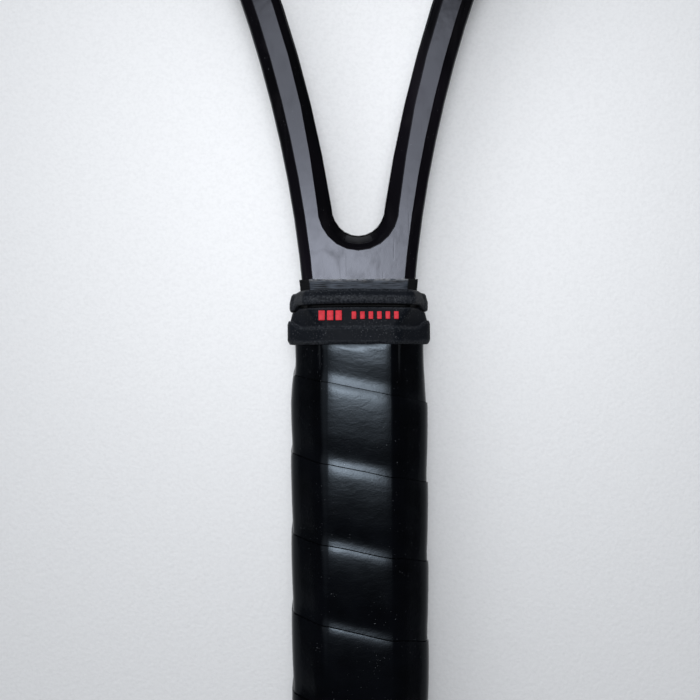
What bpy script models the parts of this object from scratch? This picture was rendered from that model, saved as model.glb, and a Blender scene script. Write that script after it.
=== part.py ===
"""Strung tennis racket with a rubber damper collar at the top of its grip, as separate pieces.

Metres. +X is to the right, +Y runs from the butt to the tip and +Z comes out of the string face.
The origin is the centre of the butt's end face.
"""

import math

import bmesh
import bpy
from mathutils import Matrix, Vector

# Gap that pieces keep where they seat on each other
SEAT_GAP = 0.0003

# Carbon frame: one beam bent into head and throat, running on as a tang inside the handle
BEAM_WIDTH = 0.010
BEAM_HEIGHT = 0.022
OUTER_BEVEL = 0.0028
INNER_BEVEL = 0.0028
CROTCH_BEVEL = 0.0040
BEVEL_SLOPE = 0.88
SHAFT_WIDTH = 0.0284
SHAFT_NECK = 0.007
TANG_SHOULDER = 0.0022
CHANNEL_WIDTH = 0.008
CHANNEL_FLANK = 0.0008
CHANNEL_DEPTH = 0.0012

# Throat: the arms leave the shaft, lean out and run into the head
SHAFT_LEAN = 0.08
ARM_RISE = 0.0788
ARM_SPREAD = 0.0167
ARM_LEAN = 0.345
CROTCH_RISE = 0.0160
CROTCH_EASE = 0.045
THROAT_OPENING_LENGTH = 0.1087
THROAT_CORNER_CUT = 0.007
BRIDGE_WIDTH = 0.010

# Head: an egg with its wide end at the tip
HEAD_OPENING_WIDTH = 0.246
HEAD_LOWER_LENGTH = 0.182
HEAD_UPPER_LENGTH = 0.150
HEAD_JOIN_ANGLE = math.radians(45)

# Guard and grommet strips round the head
GUARD_THICKNESS = 0.0024
GUARD_EDGE = 0.0012
GUARD_HALF_ANGLE = math.radians(56)
STRIP_PROUD = 0.0006
STRIP_START_ANGLE = math.radians(-38)
STRIP_END_ANGLE = math.radians(30)
THROAT_STRIP_THICKNESS = 0.0014
THROAT_STRIP_WIDTH = 0.009
THROAT_STRIP_HALF_LENGTH = 0.024

# Strings
STRING_DIAMETER = 0.0013
MAIN_STRINGS = 16
MAIN_SIDE_SPACE = 0.024
CROSS_STRINGS = 19
CROSS_TIP_SPACE = 0.022
CROSS_THROAT_SPACE = 0.0256

# Handle core, in two halves round the tang
HANDLE_LENGTH = 0.198
PALLET_SIDE_WALL = 0.003
PALLET_FACE_WALL = 0.0021
PALLET_BEVEL_WALL = 0.0006
HANDLE_WEB = 0.006

# Butt cap, the plug in its end, the weight behind the plug and the staples through its skirt
CAP_LENGTH = 0.030
CAP_WALL = 0.0016
CAP_END_WALL = 0.003
CAP_RIM_LENGTH = 0.0022
CAP_RIM_EDGE = 0.0008
FLARE_RISE = 0.0025
FLARE_LENGTH = 0.028
PORT_WIDTH = 0.018
PORT_HEIGHT = 0.014
PORT_CORNER = 0.003
PLUG_LENGTH = 0.005
WEIGHT_LENGTH = 0.020
STAPLE_WIRE = 0.0006
STAPLE_SPAN = 0.010
STAPLE_LEG = 0.005
STAPLE_INSET = 0.006

# Base grip and the overgrip wound over it
BASE_GRIP_THICKNESS = 0.0009
BASE_GRIP_SET_BACK = 0.008
BASE_GRIP_SKIVE = 0.014
OVERGRIP_THICKNESS = 0.0006
OVERGRIP_PITCH = 0.0204
OVERGRIP_SEAM_DROP = 0.0164
OVERGRIP_SINGLE = 0.0038
OVERGRIP_EASE = 0.0038
OVERGRIP_LAP_RISE = 0.0004
GRIP_CORNER_RADIUS = 0.002

# Finishing tape on the shaft
TAPE_THICKNESS = 0.0003
TAPE_SHOW = 0.0028

# Damper collar: a moulded rubber ring with two ribs and a sunk band between them
COLLAR_HEIGHT = 0.0136
COLLAR_SIDE_HEIGHT = 0.0114
COLLAR_LAP = 0.005
COLLAR_STEP = 0.0045
COLLAR_OUTER_TAPER = 0.2
COLLAR_TOP_EASE = 0.0008
COLLAR_WALL = 0.0008
COLLAR_LOWER_RIB_RISE = 0.0007
COLLAR_UPPER_RIB_RISE = 0.0010
COLLAR_RIB_EDGE = 0.0006
COLLAR_TOP_SLOPE = 0.0022
COLLAR_PANEL_BOTTOM = 0.0041
COLLAR_PANEL_TOP = 0.0100
COLLAR_GROOVE_BOTTOM = 0.0061
COLLAR_GROOVE_TOP = 0.0085
COLLAR_BEND_START = 0.72
COLLAR_BEND_END = 0.96
COLLAR_CORNER_RADIUS = 0.0025

# How finely the curves are divided
SHAFT_STEPS = 8
ARM_STEPS = 8
HOOP_STEPS = 72
OPENING_STEPS = 96
CROTCH_STEPS = 6
INNER_ARM_STEPS = 9
CORNER_STEPS = 4
BRIDGE_STEPS = 6
FLARE_STEPS = 4
CORNER_ARC_STEPS = 1
COLLAR_ARC_STEPS = 4
CURVE_SAMPLES = 240
STRING_SIDES = 8
SMOOTH_ANGLE = math.radians(32)

# Places that follow from the sizes above
SHOULDER_Y = HANDLE_LENGTH + SEAT_GAP
THROAT_START_Y = HANDLE_LENGTH + SHAFT_NECK
CROTCH_Y = THROAT_START_Y + CROTCH_RISE
HEAD_WIDEST_Y = CROTCH_Y + THROAT_OPENING_LENGTH + BRIDGE_WIDTH + HEAD_LOWER_LENGTH
HEAD_HALF_WIDTH = HEAD_OPENING_WIDTH / 2
HEAD_TIP_Y = HEAD_WIDEST_Y + HEAD_UPPER_LENGTH
BEVEL_DEPTH = OUTER_BEVEL * BEVEL_SLOPE
MAIN_PITCH = (HEAD_OPENING_WIDTH - 2 * MAIN_SIDE_SPACE) / (MAIN_STRINGS - 1)
CROSS_SPAN = HEAD_LOWER_LENGTH + HEAD_UPPER_LENGTH - CROSS_TIP_SPACE - CROSS_THROAT_SPACE
CROSS_PITCH = CROSS_SPAN / (CROSS_STRINGS - 1)
TANG_WIDTH = SHAFT_WIDTH - 2 * TANG_SHOULDER
PALLET_WIDTH = TANG_WIDTH + 2 * (SEAT_GAP + PALLET_SIDE_WALL)
PALLET_HEIGHT = BEAM_HEIGHT + 2 * (SEAT_GAP + PALLET_FACE_WALL)
TANG_CORNER_REACH = TANG_WIDTH / 2 + BEAM_HEIGHT / 2 - min(OUTER_BEVEL, BEVEL_DEPTH)
PALLET_BEVEL_REACH = TANG_CORNER_REACH + math.sqrt(2) * (SEAT_GAP + PALLET_BEVEL_WALL)
PALLET_CORNER = PALLET_WIDTH / 2 + PALLET_HEIGHT / 2 - PALLET_BEVEL_REACH
PALLET_BOTTOM_Y = CAP_END_WALL + SEAT_GAP
PLUG_TOP_Y = max(PLUG_LENGTH, CAP_END_WALL)
POCKET_TOP_Y = PLUG_TOP_Y + WEIGHT_LENGTH + 2 * SEAT_GAP
TANG_BOTTOM_Y = max(CAP_LENGTH, POCKET_TOP_Y) + HANDLE_WEB
GRIP_BOTTOM_Y = CAP_RIM_LENGTH + SEAT_GAP
BASE_GRIP_TOP_Y = HANDLE_LENGTH - BASE_GRIP_SET_BACK
BASE_GRIP_OFFSET = SEAT_GAP + BASE_GRIP_THICKNESS
GRIP_OFFSET = BASE_GRIP_OFFSET + SEAT_GAP + OVERGRIP_THICKNESS
COLLAR_BOTTOM_Y = HANDLE_LENGTH - COLLAR_LAP
COLLAR_TOP_Y = COLLAR_BOTTOM_Y + COLLAR_HEIGHT
TAPE_BOTTOM_Y = SHOULDER_Y + SEAT_GAP
TAPE_TOP_Y = COLLAR_TOP_Y + TAPE_SHOW


# Outlines and curves


def edge_normal(start, end):
    """Unit normal on the right of the edge, which is outwards on an anticlockwise outline."""
    along = Vector(end) - Vector(start)
    return Vector((along.y, -along.x)).normalized()


def offset_outline(points, distance):
    """The closed anticlockwise outline moved outwards by distance, with mitred corners."""
    moved = []
    for index, here in enumerate(points):
        first = edge_normal(points[index - 1], here)
        second = edge_normal(here, points[(index + 1) % len(points)])
        moved.append(Vector(here) + (first + second) * distance / (1 + first.dot(second)))
    return moved


def rounded(points, radius, steps):
    """The convex outline with each corner turned into an arc."""
    arcs = []
    for index, centre in enumerate(offset_outline(points, -radius)):
        first = edge_normal(points[index - 1], points[index])
        second = edge_normal(points[index], points[(index + 1) % len(points)])
        for step in range(steps + 1):
            arcs.append(centre + first.lerp(second, step / steps).normalized() * radius)
    return arcs


def octagon(width, height, corner_x, corner_z):
    """An octagonal section, anticlockwise from the lower end of its right side."""
    x = width / 2
    z = height / 2
    right = [(x, corner_z - z), (x, z - corner_z), (x - corner_x, z)]
    left = [(corner_x - x, z), (-x, z - corner_z), (-x, corner_z - z)]
    return right + left + [(corner_x - x, -z), (x - corner_x, -z)]


def handle_section(offset):
    """The handle core's octagon grown by offset."""
    core = octagon(PALLET_WIDTH, PALLET_HEIGHT, PALLET_CORNER, PALLET_CORNER)
    return offset_outline(core, offset)


def beam_section(width, offset):
    """The bevelled section of the shaft or tang, grown by offset."""
    return offset_outline(octagon(width, BEAM_HEIGHT, OUTER_BEVEL, BEVEL_DEPTH), offset)


def port_section(offset):
    """The opening in the butt, grown by offset."""
    return offset_outline(octagon(PORT_WIDTH, PORT_HEIGHT, PORT_CORNER, PORT_CORNER), offset)


def ring(section, y):
    """A section in X and Z set at y along the racket."""
    return [Vector((point[0], y, point[1])) for point in section]


def flare(y):
    """How far the butt swells beyond the handle core at y."""
    left = max(0.0, 1 - y / FLARE_LENGTH)
    return FLARE_RISE * left**2


def flare_rows(start):
    """Heights at which the swell of the butt is drawn, from start to where it ends."""
    end = max(FLARE_LENGTH, start)
    return [start + (end - start) * step / FLARE_STEPS for step in range(FLARE_STEPS + 1)]


def smooth_step(value):
    """0 below 0, 1 above 1 and an even S between them."""
    bounded = min(1.0, max(0.0, value))
    return bounded * bounded * (3 - 2 * bounded)


def head_point(angle, offset):
    """A point on the head opening's egg, moved outwards by offset."""
    reach = HEAD_UPPER_LENGTH if math.sin(angle) >= 0 else HEAD_LOWER_LENGTH
    normal = Vector((math.cos(angle) / HEAD_HALF_WIDTH, math.sin(angle) / reach)).normalized()
    place = Vector((HEAD_HALF_WIDTH * math.cos(angle), HEAD_WIDEST_Y + reach * math.sin(angle)))
    return place + normal * offset


def head_tangent(angle):
    """Direction along the egg as the angle grows, on its lower half."""
    along = (-HEAD_HALF_WIDTH * math.sin(angle), HEAD_LOWER_LENGTH * math.cos(angle))
    return Vector(along).normalized()


def curve_points(start, start_way, end, end_way, steps):
    """Points of a smooth curve that leaves start and reaches end along the given directions."""
    handle = (end - start).length / 3
    second = start + start_way.normalized() * handle
    third = end - end_way.normalized() * handle
    points = []
    for step in range(steps + 1):
        share = step / steps
        rest = 1 - share
        bend = 3 * rest * share * (rest * second + share * third)
        points.append(rest**3 * start + bend + share**3 * end)
    return points


def arm_points(shaft_steps, arm_steps):
    """Right outer edge of the throat, from the shaft up to the head."""
    foot = Vector((SHAFT_WIDTH / 2, THROAT_START_Y))
    middle = foot + Vector((ARM_SPREAD, ARM_RISE))
    top = head_point(-HEAD_JOIN_ANGLE, BEAM_WIDTH)
    foot_way = Vector((SHAFT_LEAN, 1))
    middle_way = Vector((ARM_LEAN, 1))
    lower = curve_points(foot, foot_way, middle, middle_way, shaft_steps)
    upper = curve_points(middle, middle_way, top, head_tangent(-HEAD_JOIN_ANGLE), arm_steps)
    return lower[:-1] + upper


def shaft_half_width(y):
    """Half the frame's outer width at y, between the handle and the head."""
    edge = arm_points(CURVE_SAMPLES, CURVE_SAMPLES)
    for lower, upper in zip(edge, edge[1:]):
        if lower.y <= y <= upper.y:
            return lower.x + (upper.x - lower.x) * (y - lower.y) / (upper.y - lower.y)
    return SHAFT_WIDTH / 2


def evenly(points, steps):
    """The open line of points divided into steps of equal length."""
    lengths = [0.0]
    for start, end in zip(points, points[1:]):
        lengths.append(lengths[-1] + (end - start).length)
    spaced = []
    index = 0
    for step in range(steps + 1):
        target = lengths[-1] * step / steps
        while index < len(points) - 2 and lengths[index + 1] < target:
            index += 1
        share = (target - lengths[index]) / (lengths[index + 1] - lengths[index])
        spaced.append(points[index].lerp(points[index + 1], share))
    return spaced


def cut_back(points, length):
    """The open line of points without its last length."""
    kept = list(points)
    while len(kept) > 2 and (points[-1] - kept[-1]).length < length:
        kept.pop()
    return kept


def mirrored(points):
    """The right half of an outline, from bottom to top, with its left half added."""
    middle = {0, len(points) - 1}
    left = [
        Vector((-point.x, point.y))
        for index, point in enumerate(points)
        if index not in middle or point.x > SEAT_GAP
    ]
    return points + left[::-1]


def hoop_angles():
    """Angles of the hoop's facets, from the right arm over the tip to the left arm."""
    span = math.pi + 2 * HEAD_JOIN_ANGLE
    return [span * step / HOOP_STEPS - HEAD_JOIN_ANGLE for step in range(HOOP_STEPS + 1)]


def frame_outline():
    """The frame's outer edge, and for each point how deep the string channel is there."""
    tang = [
        Vector((TANG_WIDTH / 2, TANG_BOTTOM_Y)),
        Vector((TANG_WIDTH / 2, SHOULDER_Y)),
        Vector((SHAFT_WIDTH / 2, SHOULDER_Y)),
    ]
    side = tang + arm_points(SHAFT_STEPS, ARM_STEPS)[:-1]
    hoop = [head_point(angle, BEAM_WIDTH) for angle in hoop_angles()]
    left = [Vector((-point.x, point.y)) for point in reversed(side)]
    hoop_share = [0.0] + [1.0] * (len(hoop) - 2) + [0.0]
    depth = [0.0] * len(side) + hoop_share + [0.0] * len(side)
    return side + hoop + left, depth


def head_opening():
    """The hoop's inner edge."""
    turn = 2 * math.pi / OPENING_STEPS
    return [head_point(turn * step, 0.0) for step in range(OPENING_STEPS)]


def bridge_edge():
    """Lower edge of the bridge, from the middle to the right."""
    quarter = math.pi / 2
    angles = [quarter * step / CURVE_SAMPLES - quarter for step in range(CURVE_SAMPLES)]
    return [head_point(angle, BRIDGE_WIDTH) for angle in angles]


def bridge_height(x):
    """Height of the bridge's lower edge at x."""
    edge = bridge_edge()
    for inner, outer in zip(edge, edge[1:]):
        if inner.x <= x <= outer.x:
            return inner.y + (outer.y - inner.y) * (x - inner.x) / (outer.x - inner.x)
    return math.inf


def inner_arm():
    """Right inner edge of the throat, a beam's width inside the outer edge."""
    outer = arm_points(CURVE_SAMPLES, CURVE_SAMPLES)
    inner = []
    for start, end in zip(outer, outer[1:]):
        inner.append((start + end) / 2 - edge_normal(start, end) * BEAM_WIDTH)
    return inner


def throat_opening():
    """The hole between the arms, the crotch and the bridge."""
    arm = inner_arm()
    centre_y, radius = next(
        (point.y, point.x) for point in arm if point.y - point.x >= CROTCH_Y
    )
    crotch = []
    for step in range(CROTCH_STEPS):
        angle = math.pi / 2 * (step / CROTCH_STEPS - 1)
        crotch.append(Vector((radius * math.cos(angle), centre_y + radius * math.sin(angle))))
    arm = [point for point in arm if point.y >= centre_y]
    arm = [point for point in arm if point.y < bridge_height(point.x)]
    corner = arm[-1]
    bridge = [point for point in bridge_edge() if point.x < corner.x]
    arm = evenly(cut_back(arm, THROAT_CORNER_CUT), INNER_ARM_STEPS)
    bridge = evenly(cut_back(bridge, THROAT_CORNER_CUT), BRIDGE_STEPS)[::-1]
    turn = []
    for step in range(1, CORNER_STEPS):
        share = step / CORNER_STEPS
        turn.append(arm[-1].lerp(corner, share).lerp(corner.lerp(bridge[0], share), share))
    return mirrored(crotch + arm + turn + bridge)


def crotch_share(y, arm_share, foot_share):
    """How much of the throat's widest bevel is used at y: most at the foot of the crotch."""
    climbed = smooth_step((y - CROTCH_Y) / CROTCH_EASE)
    return foot_share + (arm_share - foot_share) * climbed


# Meshes and objects


def skin(rings, tube):
    """Walls between each ring and the next. A tube's last ring meets its first, a bar has end caps."""
    mesh = bmesh.new()
    rows = [[mesh.verts.new(point) for point in points] for points in rings]
    pairs = list(zip(rows, rows[1:]))
    if tube:
        pairs.append((rows[-1], rows[0]))
    else:
        mesh.faces.new(rows[0])
        mesh.faces.new(rows[-1])
    for lower, upper in pairs:
        for index in range(len(lower)):
            after = (index + 1) % len(lower)
            mesh.faces.new((lower[index], lower[after], upper[after], upper[index]))
    bmesh.ops.recalc_face_normals(mesh, faces=mesh.faces)
    return mesh


def slice_off(mesh, point, outwards):
    """Cuts away what lies beyond the plane, and returns the edges of the cut."""
    sliced = bmesh.ops.bisect_plane(
        mesh,
        geom=mesh.verts[:] + mesh.edges[:] + mesh.faces[:],
        dist=SEAT_GAP / 1000,
        plane_co=point,
        plane_no=outwards,
        clear_outer=True,
    )
    return [part for part in sliced["geom_cut"] if isinstance(part, bmesh.types.BMEdge)]


def bar(section, bottom, top):
    """A section drawn out along the racket."""
    return skin([ring(section, bottom), ring(section, top)], tube=False)


def finish(name, colour, roughness, metallic=0.0):
    """A plain material."""
    material = bpy.data.materials.new(name)
    material.use_nodes = True
    shader = material.node_tree.nodes["Principled BSDF"]
    shader.inputs["Base Color"].default_value = (*colour, 1.0)
    shader.inputs["Roughness"].default_value = roughness
    shader.inputs["Metallic"].default_value = metallic
    return material


def add_piece(name, mesh, material, origin=(0.0, 0.0, 0.0)):
    """An object under the racket's empty, with its origin at the given point."""
    bmesh.ops.translate(mesh, verts=mesh.verts, vec=-Vector(origin))
    data = bpy.data.meshes.new(name)
    mesh.to_mesh(data)
    mesh.free()
    data.shade_smooth()
    data.set_sharp_from_angle(angle=SMOOTH_ANGLE)
    piece = bpy.data.objects.new(name, data)
    piece.location = origin
    bpy.context.scene.collection.objects.link(piece)
    if material:
        data.materials.append(material)
        piece.parent = bpy.data.objects["racket"]
    return piece


def add_cutter(name, mesh):
    """A hidden shape that is taken out of other pieces."""
    cutter = add_piece(name, mesh, None)
    cutter.hide_render = True
    cutter.display_type = "WIRE"
    return cutter


def cut(piece, *cutters):
    """Takes each cutter out of the piece."""
    for cutter in cutters:
        modifier = piece.modifiers.new(cutter.name, "BOOLEAN")
        modifier.operation = "DIFFERENCE"
        modifier.solver = "EXACT"
        modifier.object = cutter


# Frame


def beam_walls(mesh, outline, into, levels, shares):
    """Side walls of one outline. Returns its upper and lower edges, which the faces are filled from.

    Each level is a height, an inset, a drop towards the middle and whether each point's share scales
    the inset and the drop.
    """
    rows = []
    for height, inset, drop, varies in levels:
        moved = offset_outline(outline, into * inset)
        row = []
        for here, there, share in zip(outline, moved, shares):
            part = share if varies else 1.0
            place = here.lerp(there, part)
            row.append(mesh.verts.new((place.x, place.y, height - math.copysign(drop * part, height))))
        rows.append(row)
    for upper, lower in zip(rows, rows[1:]):
        for index in range(len(upper)):
            after = (index + 1) % len(upper)
            mesh.faces.new((upper[index], lower[index], lower[after], upper[after]))
    rims = []
    for row in (rows[0], rows[-1]):
        rims.append([mesh.edges.get((row[index - 1], row[index])) for index in range(len(row))])
    return rims


def both_faces(levels):
    """The levels of the front half, then the same ones of the back half."""
    return levels + [(-height, inset, drop, varies) for height, inset, drop, varies in reversed(levels)]


def bevelled_edge(bevel, varies):
    """Levels of one bevel, from the rim of the face to the wall."""
    face = BEAM_HEIGHT / 2
    return [(face, bevel, 0.0, varies), (face, 0.0, bevel * BEVEL_SLOPE, varies)]


def carbon_frame(material):
    """Head, throat and tang in one beam, with the string channel round the outside of the head."""
    lip = CHANNEL_WIDTH / 2
    channel = [(lip, 0.0, 0.0, False), (lip - CHANNEL_FLANK, CHANNEL_DEPTH, 0.0, True)]
    outline, depth = frame_outline()
    head = head_opening()
    throat = throat_opening()
    wide = max(INNER_BEVEL, CROTCH_BEVEL)
    shares = [crotch_share(point.y, INNER_BEVEL / wide, CROTCH_BEVEL / wide) for point in throat]
    mesh = bmesh.new()
    outer = both_faces(bevelled_edge(OUTER_BEVEL, False) + channel)
    rims = [beam_walls(mesh, outline, -1, outer, depth)]
    inner = both_faces(bevelled_edge(INNER_BEVEL, False))
    rims.append(beam_walls(mesh, head, 1, inner, [1.0] * len(head)))
    eased = both_faces(bevelled_edge(wide, True))
    rims.append(beam_walls(mesh, throat, 1, eased, shares))
    for side in range(2):
        edges = [edge for rim in rims for edge in rim[side]]
        bmesh.ops.triangle_fill(mesh, edges=edges, use_beauty=True)
    bmesh.ops.recalc_face_normals(mesh, faces=mesh.faces)
    return add_piece("carbon_frame", mesh, material)


# Guard, strips and strings


def hoop_band(name, first_angle, last_angle, section, material):
    """A strip with the given section, in offset and Z, along the outside of the hoop."""
    step = (math.pi + 2 * HEAD_JOIN_ANGLE) / HOOP_STEPS
    angles = [
        angle
        for angle in hoop_angles()
        if first_angle - step / 2 <= angle <= last_angle + step / 2
    ]
    rings = []
    for angle in angles:
        places = [(head_point(angle, BEAM_WIDTH + offset), z) for offset, z in section]
        rings.append([Vector((place.x, place.y, z)) for place, z in places])
    return add_piece(name, skin(rings, tube=False), material)


def bumper_guard(material):
    """Guard over the tip: a flat band with a rib that sits in the string channel."""
    half = BEAM_HEIGHT / 2 - BEVEL_DEPTH
    rib = CHANNEL_WIDTH / 2 - CHANNEL_FLANK - SEAT_GAP
    root = SEAT_GAP - CHANNEL_DEPTH
    outside = SEAT_GAP + GUARD_THICKNESS
    band = [(SEAT_GAP, -half), (outside, GUARD_EDGE - half)]
    band += [(outside, half - GUARD_EDGE), (SEAT_GAP, half)]
    section = band + [(SEAT_GAP, rib), (root, rib), (root, -rib), (SEAT_GAP, -rib)]
    middle = math.pi / 2
    first = middle - GUARD_HALF_ANGLE
    return hoop_band("bumper_guard", first, middle + GUARD_HALF_ANGLE, section, material)


def grommet_strips(material):
    """The two side strips in the string channel, and the one under the bridge."""
    half = CHANNEL_WIDTH / 2 - CHANNEL_FLANK - SEAT_GAP
    root = SEAT_GAP - CHANNEL_DEPTH
    section = [(root, -half), (STRIP_PROUD, -half), (STRIP_PROUD, half), (root, half)]
    start = STRIP_START_ANGLE
    end = STRIP_END_ANGLE
    hoop_band("grommet_strip_right", start, end, section, material)
    hoop_band("grommet_strip_left", math.pi - end, math.pi - start, section, material)
    half_turn = THROAT_STRIP_HALF_LENGTH / HEAD_HALF_WIDTH
    depth = BRIDGE_WIDTH + SEAT_GAP
    z = THROAT_STRIP_WIDTH / 2
    corners = [(depth, -z), (depth + THROAT_STRIP_THICKNESS, -z)]
    corners += [(depth + THROAT_STRIP_THICKNESS, z), (depth, z)]
    rings = []
    for step in range(-BRIDGE_STEPS, BRIDGE_STEPS + 1):
        angle = half_turn * step / BRIDGE_STEPS - math.pi / 2
        places = [(head_point(angle, offset), height) for offset, height in corners]
        rings.append([Vector((place.x, place.y, height)) for place, height in places])
    add_piece("throat_grommet_strip", skin(rings, tube=False), material)


def string_run(name, start, end, material):
    """One straight run of string."""
    along = end - start
    turn = Vector((0.0, 0.0, 1.0)).rotation_difference(along).to_matrix().to_4x4()
    mesh = bmesh.new()
    bmesh.ops.create_cone(
        mesh,
        cap_ends=True,
        segments=STRING_SIDES,
        radius1=STRING_DIAMETER / 2,
        radius2=STRING_DIAMETER / 2,
        depth=along.length,
        matrix=Matrix.Translation((start + end) / 2) @ turn,
    )
    return add_piece(name, mesh, material)


def strings(material):
    """Main strings along the racket and cross strings under them, ending at the hoop's inner wall."""
    radius = STRING_DIAMETER / 2
    level = radius + SEAT_GAP / 2
    for index in range(MAIN_STRINGS):
        x = (index - (MAIN_STRINGS - 1) / 2) * MAIN_PITCH
        share = math.sqrt(1 - ((abs(x) + radius) / HEAD_HALF_WIDTH) ** 2)
        bottom = HEAD_WIDEST_Y - HEAD_LOWER_LENGTH * share + SEAT_GAP
        top = HEAD_WIDEST_Y + HEAD_UPPER_LENGTH * share - SEAT_GAP
        start = Vector((x, bottom, level))
        string_run(f"main_string_{index + 1:02d}", start, Vector((x, top, level)), material)
    for index in range(CROSS_STRINGS):
        y = HEAD_TIP_Y - CROSS_TIP_SPACE - index * CROSS_PITCH
        reach = HEAD_UPPER_LENGTH if y > HEAD_WIDEST_Y else HEAD_LOWER_LENGTH
        share = math.sqrt(1 - ((abs(y - HEAD_WIDEST_Y) + radius) / reach) ** 2)
        x = HEAD_HALF_WIDTH * share - SEAT_GAP
        start = Vector((-x, y, -level))
        string_run(f"cross_string_{index + 1:02d}", start, Vector((x, y, -level)), material)


# Handle core and butt


def staple_shape(side, grow):
    """A staple in the side of the butt cap, its crown just under the cap's skin."""
    y = CAP_LENGTH - STAPLE_INSET
    outside = PALLET_WIDTH / 2 + flare(y) + grow * PALLET_WIDTH
    crown = PALLET_WIDTH / 2 + flare(y) - STAPLE_WIRE - grow
    tip = PALLET_WIDTH / 2 + flare(y) - STAPLE_LEG - grow
    wide = STAPLE_SPAN / 2 + grow
    narrow = STAPLE_SPAN / 2 - STAPLE_WIRE - grow
    section = [(tip, -wide), (outside, -wide), (outside, wide), (tip, wide)]
    section += [(tip, narrow), (crown, narrow), (crown, -narrow), (tip, -narrow)]
    section = [(side * x, z) for x, z in section]
    half = STAPLE_WIRE / 2 + grow
    return bar(section, y - half, y + half)


def pallet_half(name, side, material):
    """One half of the handle core, with a reduced end that the butt cap goes over."""
    spigot = -CAP_WALL - SEAT_GAP
    spigot_top = CAP_LENGTH + SEAT_GAP
    rings = [ring(handle_section(spigot), y) for y in (PALLET_BOTTOM_Y, spigot_top)]
    rings += [ring(handle_section(0.0), y) for y in (spigot_top, HANDLE_LENGTH)]
    mesh = skin(rings, tube=False)
    parting = slice_off(mesh, (0.0, 0.0, side * SEAT_GAP / 2), (0.0, 0.0, -side))
    bmesh.ops.edgeloop_fill(mesh, edges=parting)
    bmesh.ops.recalc_face_normals(mesh, faces=mesh.faces)
    return add_piece(name, mesh, material)


def butt_cap(material):
    """Moulded cap with the butt's swell, a rim that the grips end on and a port in its end."""
    rim = flare(0.0) + GRIP_OFFSET
    rings = [ring(handle_section(rim - CAP_RIM_EDGE), 0.0)]
    rings += [ring(handle_section(rim), y) for y in (CAP_RIM_EDGE, CAP_RIM_LENGTH)]
    rings += [ring(handle_section(flare(y)), y) for y in flare_rows(CAP_RIM_LENGTH)]
    rings += [ring(handle_section(0.0), CAP_LENGTH)]
    rings += [ring(handle_section(-CAP_WALL), y) for y in (CAP_LENGTH, CAP_END_WALL)]
    rings += [ring(port_section(0.0), y) for y in (CAP_END_WALL, 0.0)]
    return add_piece("butt_cap", skin(rings, tube=True), material)


def handle_core(foam, plastic, plug, lead, steel):
    """Pallet halves, butt cap, plug, balance weight and staples."""
    tang_slot = bar(
        beam_section(TANG_WIDTH, SEAT_GAP),
        TANG_BOTTOM_Y - SEAT_GAP,
        HANDLE_LENGTH + SHAFT_NECK,
    )
    pocket = bar(port_section(0.0), 0.0, POCKET_TOP_Y)
    cutters = [add_cutter("tang_slot", tang_slot), add_cutter("weight_pocket", pocket)]
    cap = butt_cap(plastic)
    front = pallet_half("pallet_front", 1, foam)
    back = pallet_half("pallet_back", -1, foam)
    for piece in (front, back):
        cut(piece, *cutters)
    for side, word in ((1, "right"), (-1, "left")):
        hole = add_cutter(f"staple_hole_{word}", staple_shape(side, SEAT_GAP))
        for piece in (cap, front, back):
            cut(piece, hole)
        add_piece(f"butt_staple_{word}", staple_shape(side, 0.0), steel)
    closed = port_section(-SEAT_GAP)
    add_piece("butt_plug", bar(closed, 0.0, PLUG_TOP_Y), plug)
    weight = bar(closed, PLUG_TOP_Y + SEAT_GAP, POCKET_TOP_Y - SEAT_GAP)
    add_piece("balance_weight", weight, lead)


# Grips


def base_grip_offset(y):
    """How far the base grip's outside stands off the handle core: its top end is skived thin."""
    return SEAT_GAP + BASE_GRIP_THICKNESS * (1 - base_grip_skive(y))


def base_grip_skive(y):
    """0 on the full base grip, 1 where it has run out."""
    return smooth_step((y - BASE_GRIP_TOP_Y + BASE_GRIP_SKIVE) / BASE_GRIP_SKIVE)


def overgrip_bore(y):
    """How far the overgrip's inside stands off the handle core."""
    return base_grip_offset(y) + SEAT_GAP * (1 - base_grip_skive(y - BASE_GRIP_SKIVE / 2))


def grip_section(offset):
    """The handle's octagon grown by offset, with soft corners."""
    return rounded(handle_section(offset), GRIP_CORNER_RADIUS, CORNER_ARC_STEPS)


def skive_rows(extra):
    """Heights at which the end of the base grip is drawn, going on past it by extra."""
    start = BASE_GRIP_TOP_Y - BASE_GRIP_SKIVE
    length = BASE_GRIP_SKIVE + extra
    return [start + length * step / FLARE_STEPS for step in range(FLARE_STEPS + 1)]


def base_grip(material):
    """Cushion grip on the handle core, ending in a skived edge short of the handle's top."""
    rows = flare_rows(GRIP_BOTTOM_Y) + skive_rows(0.0)[:-1]
    outside = [ring(grip_section(flare(y) + base_grip_offset(y)), y) for y in rows]
    inside = [ring(grip_section(flare(y) + SEAT_GAP), y) for y in reversed(rows)]
    return add_piece("base_grip", skin(outside + inside, tube=True), material)


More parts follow.
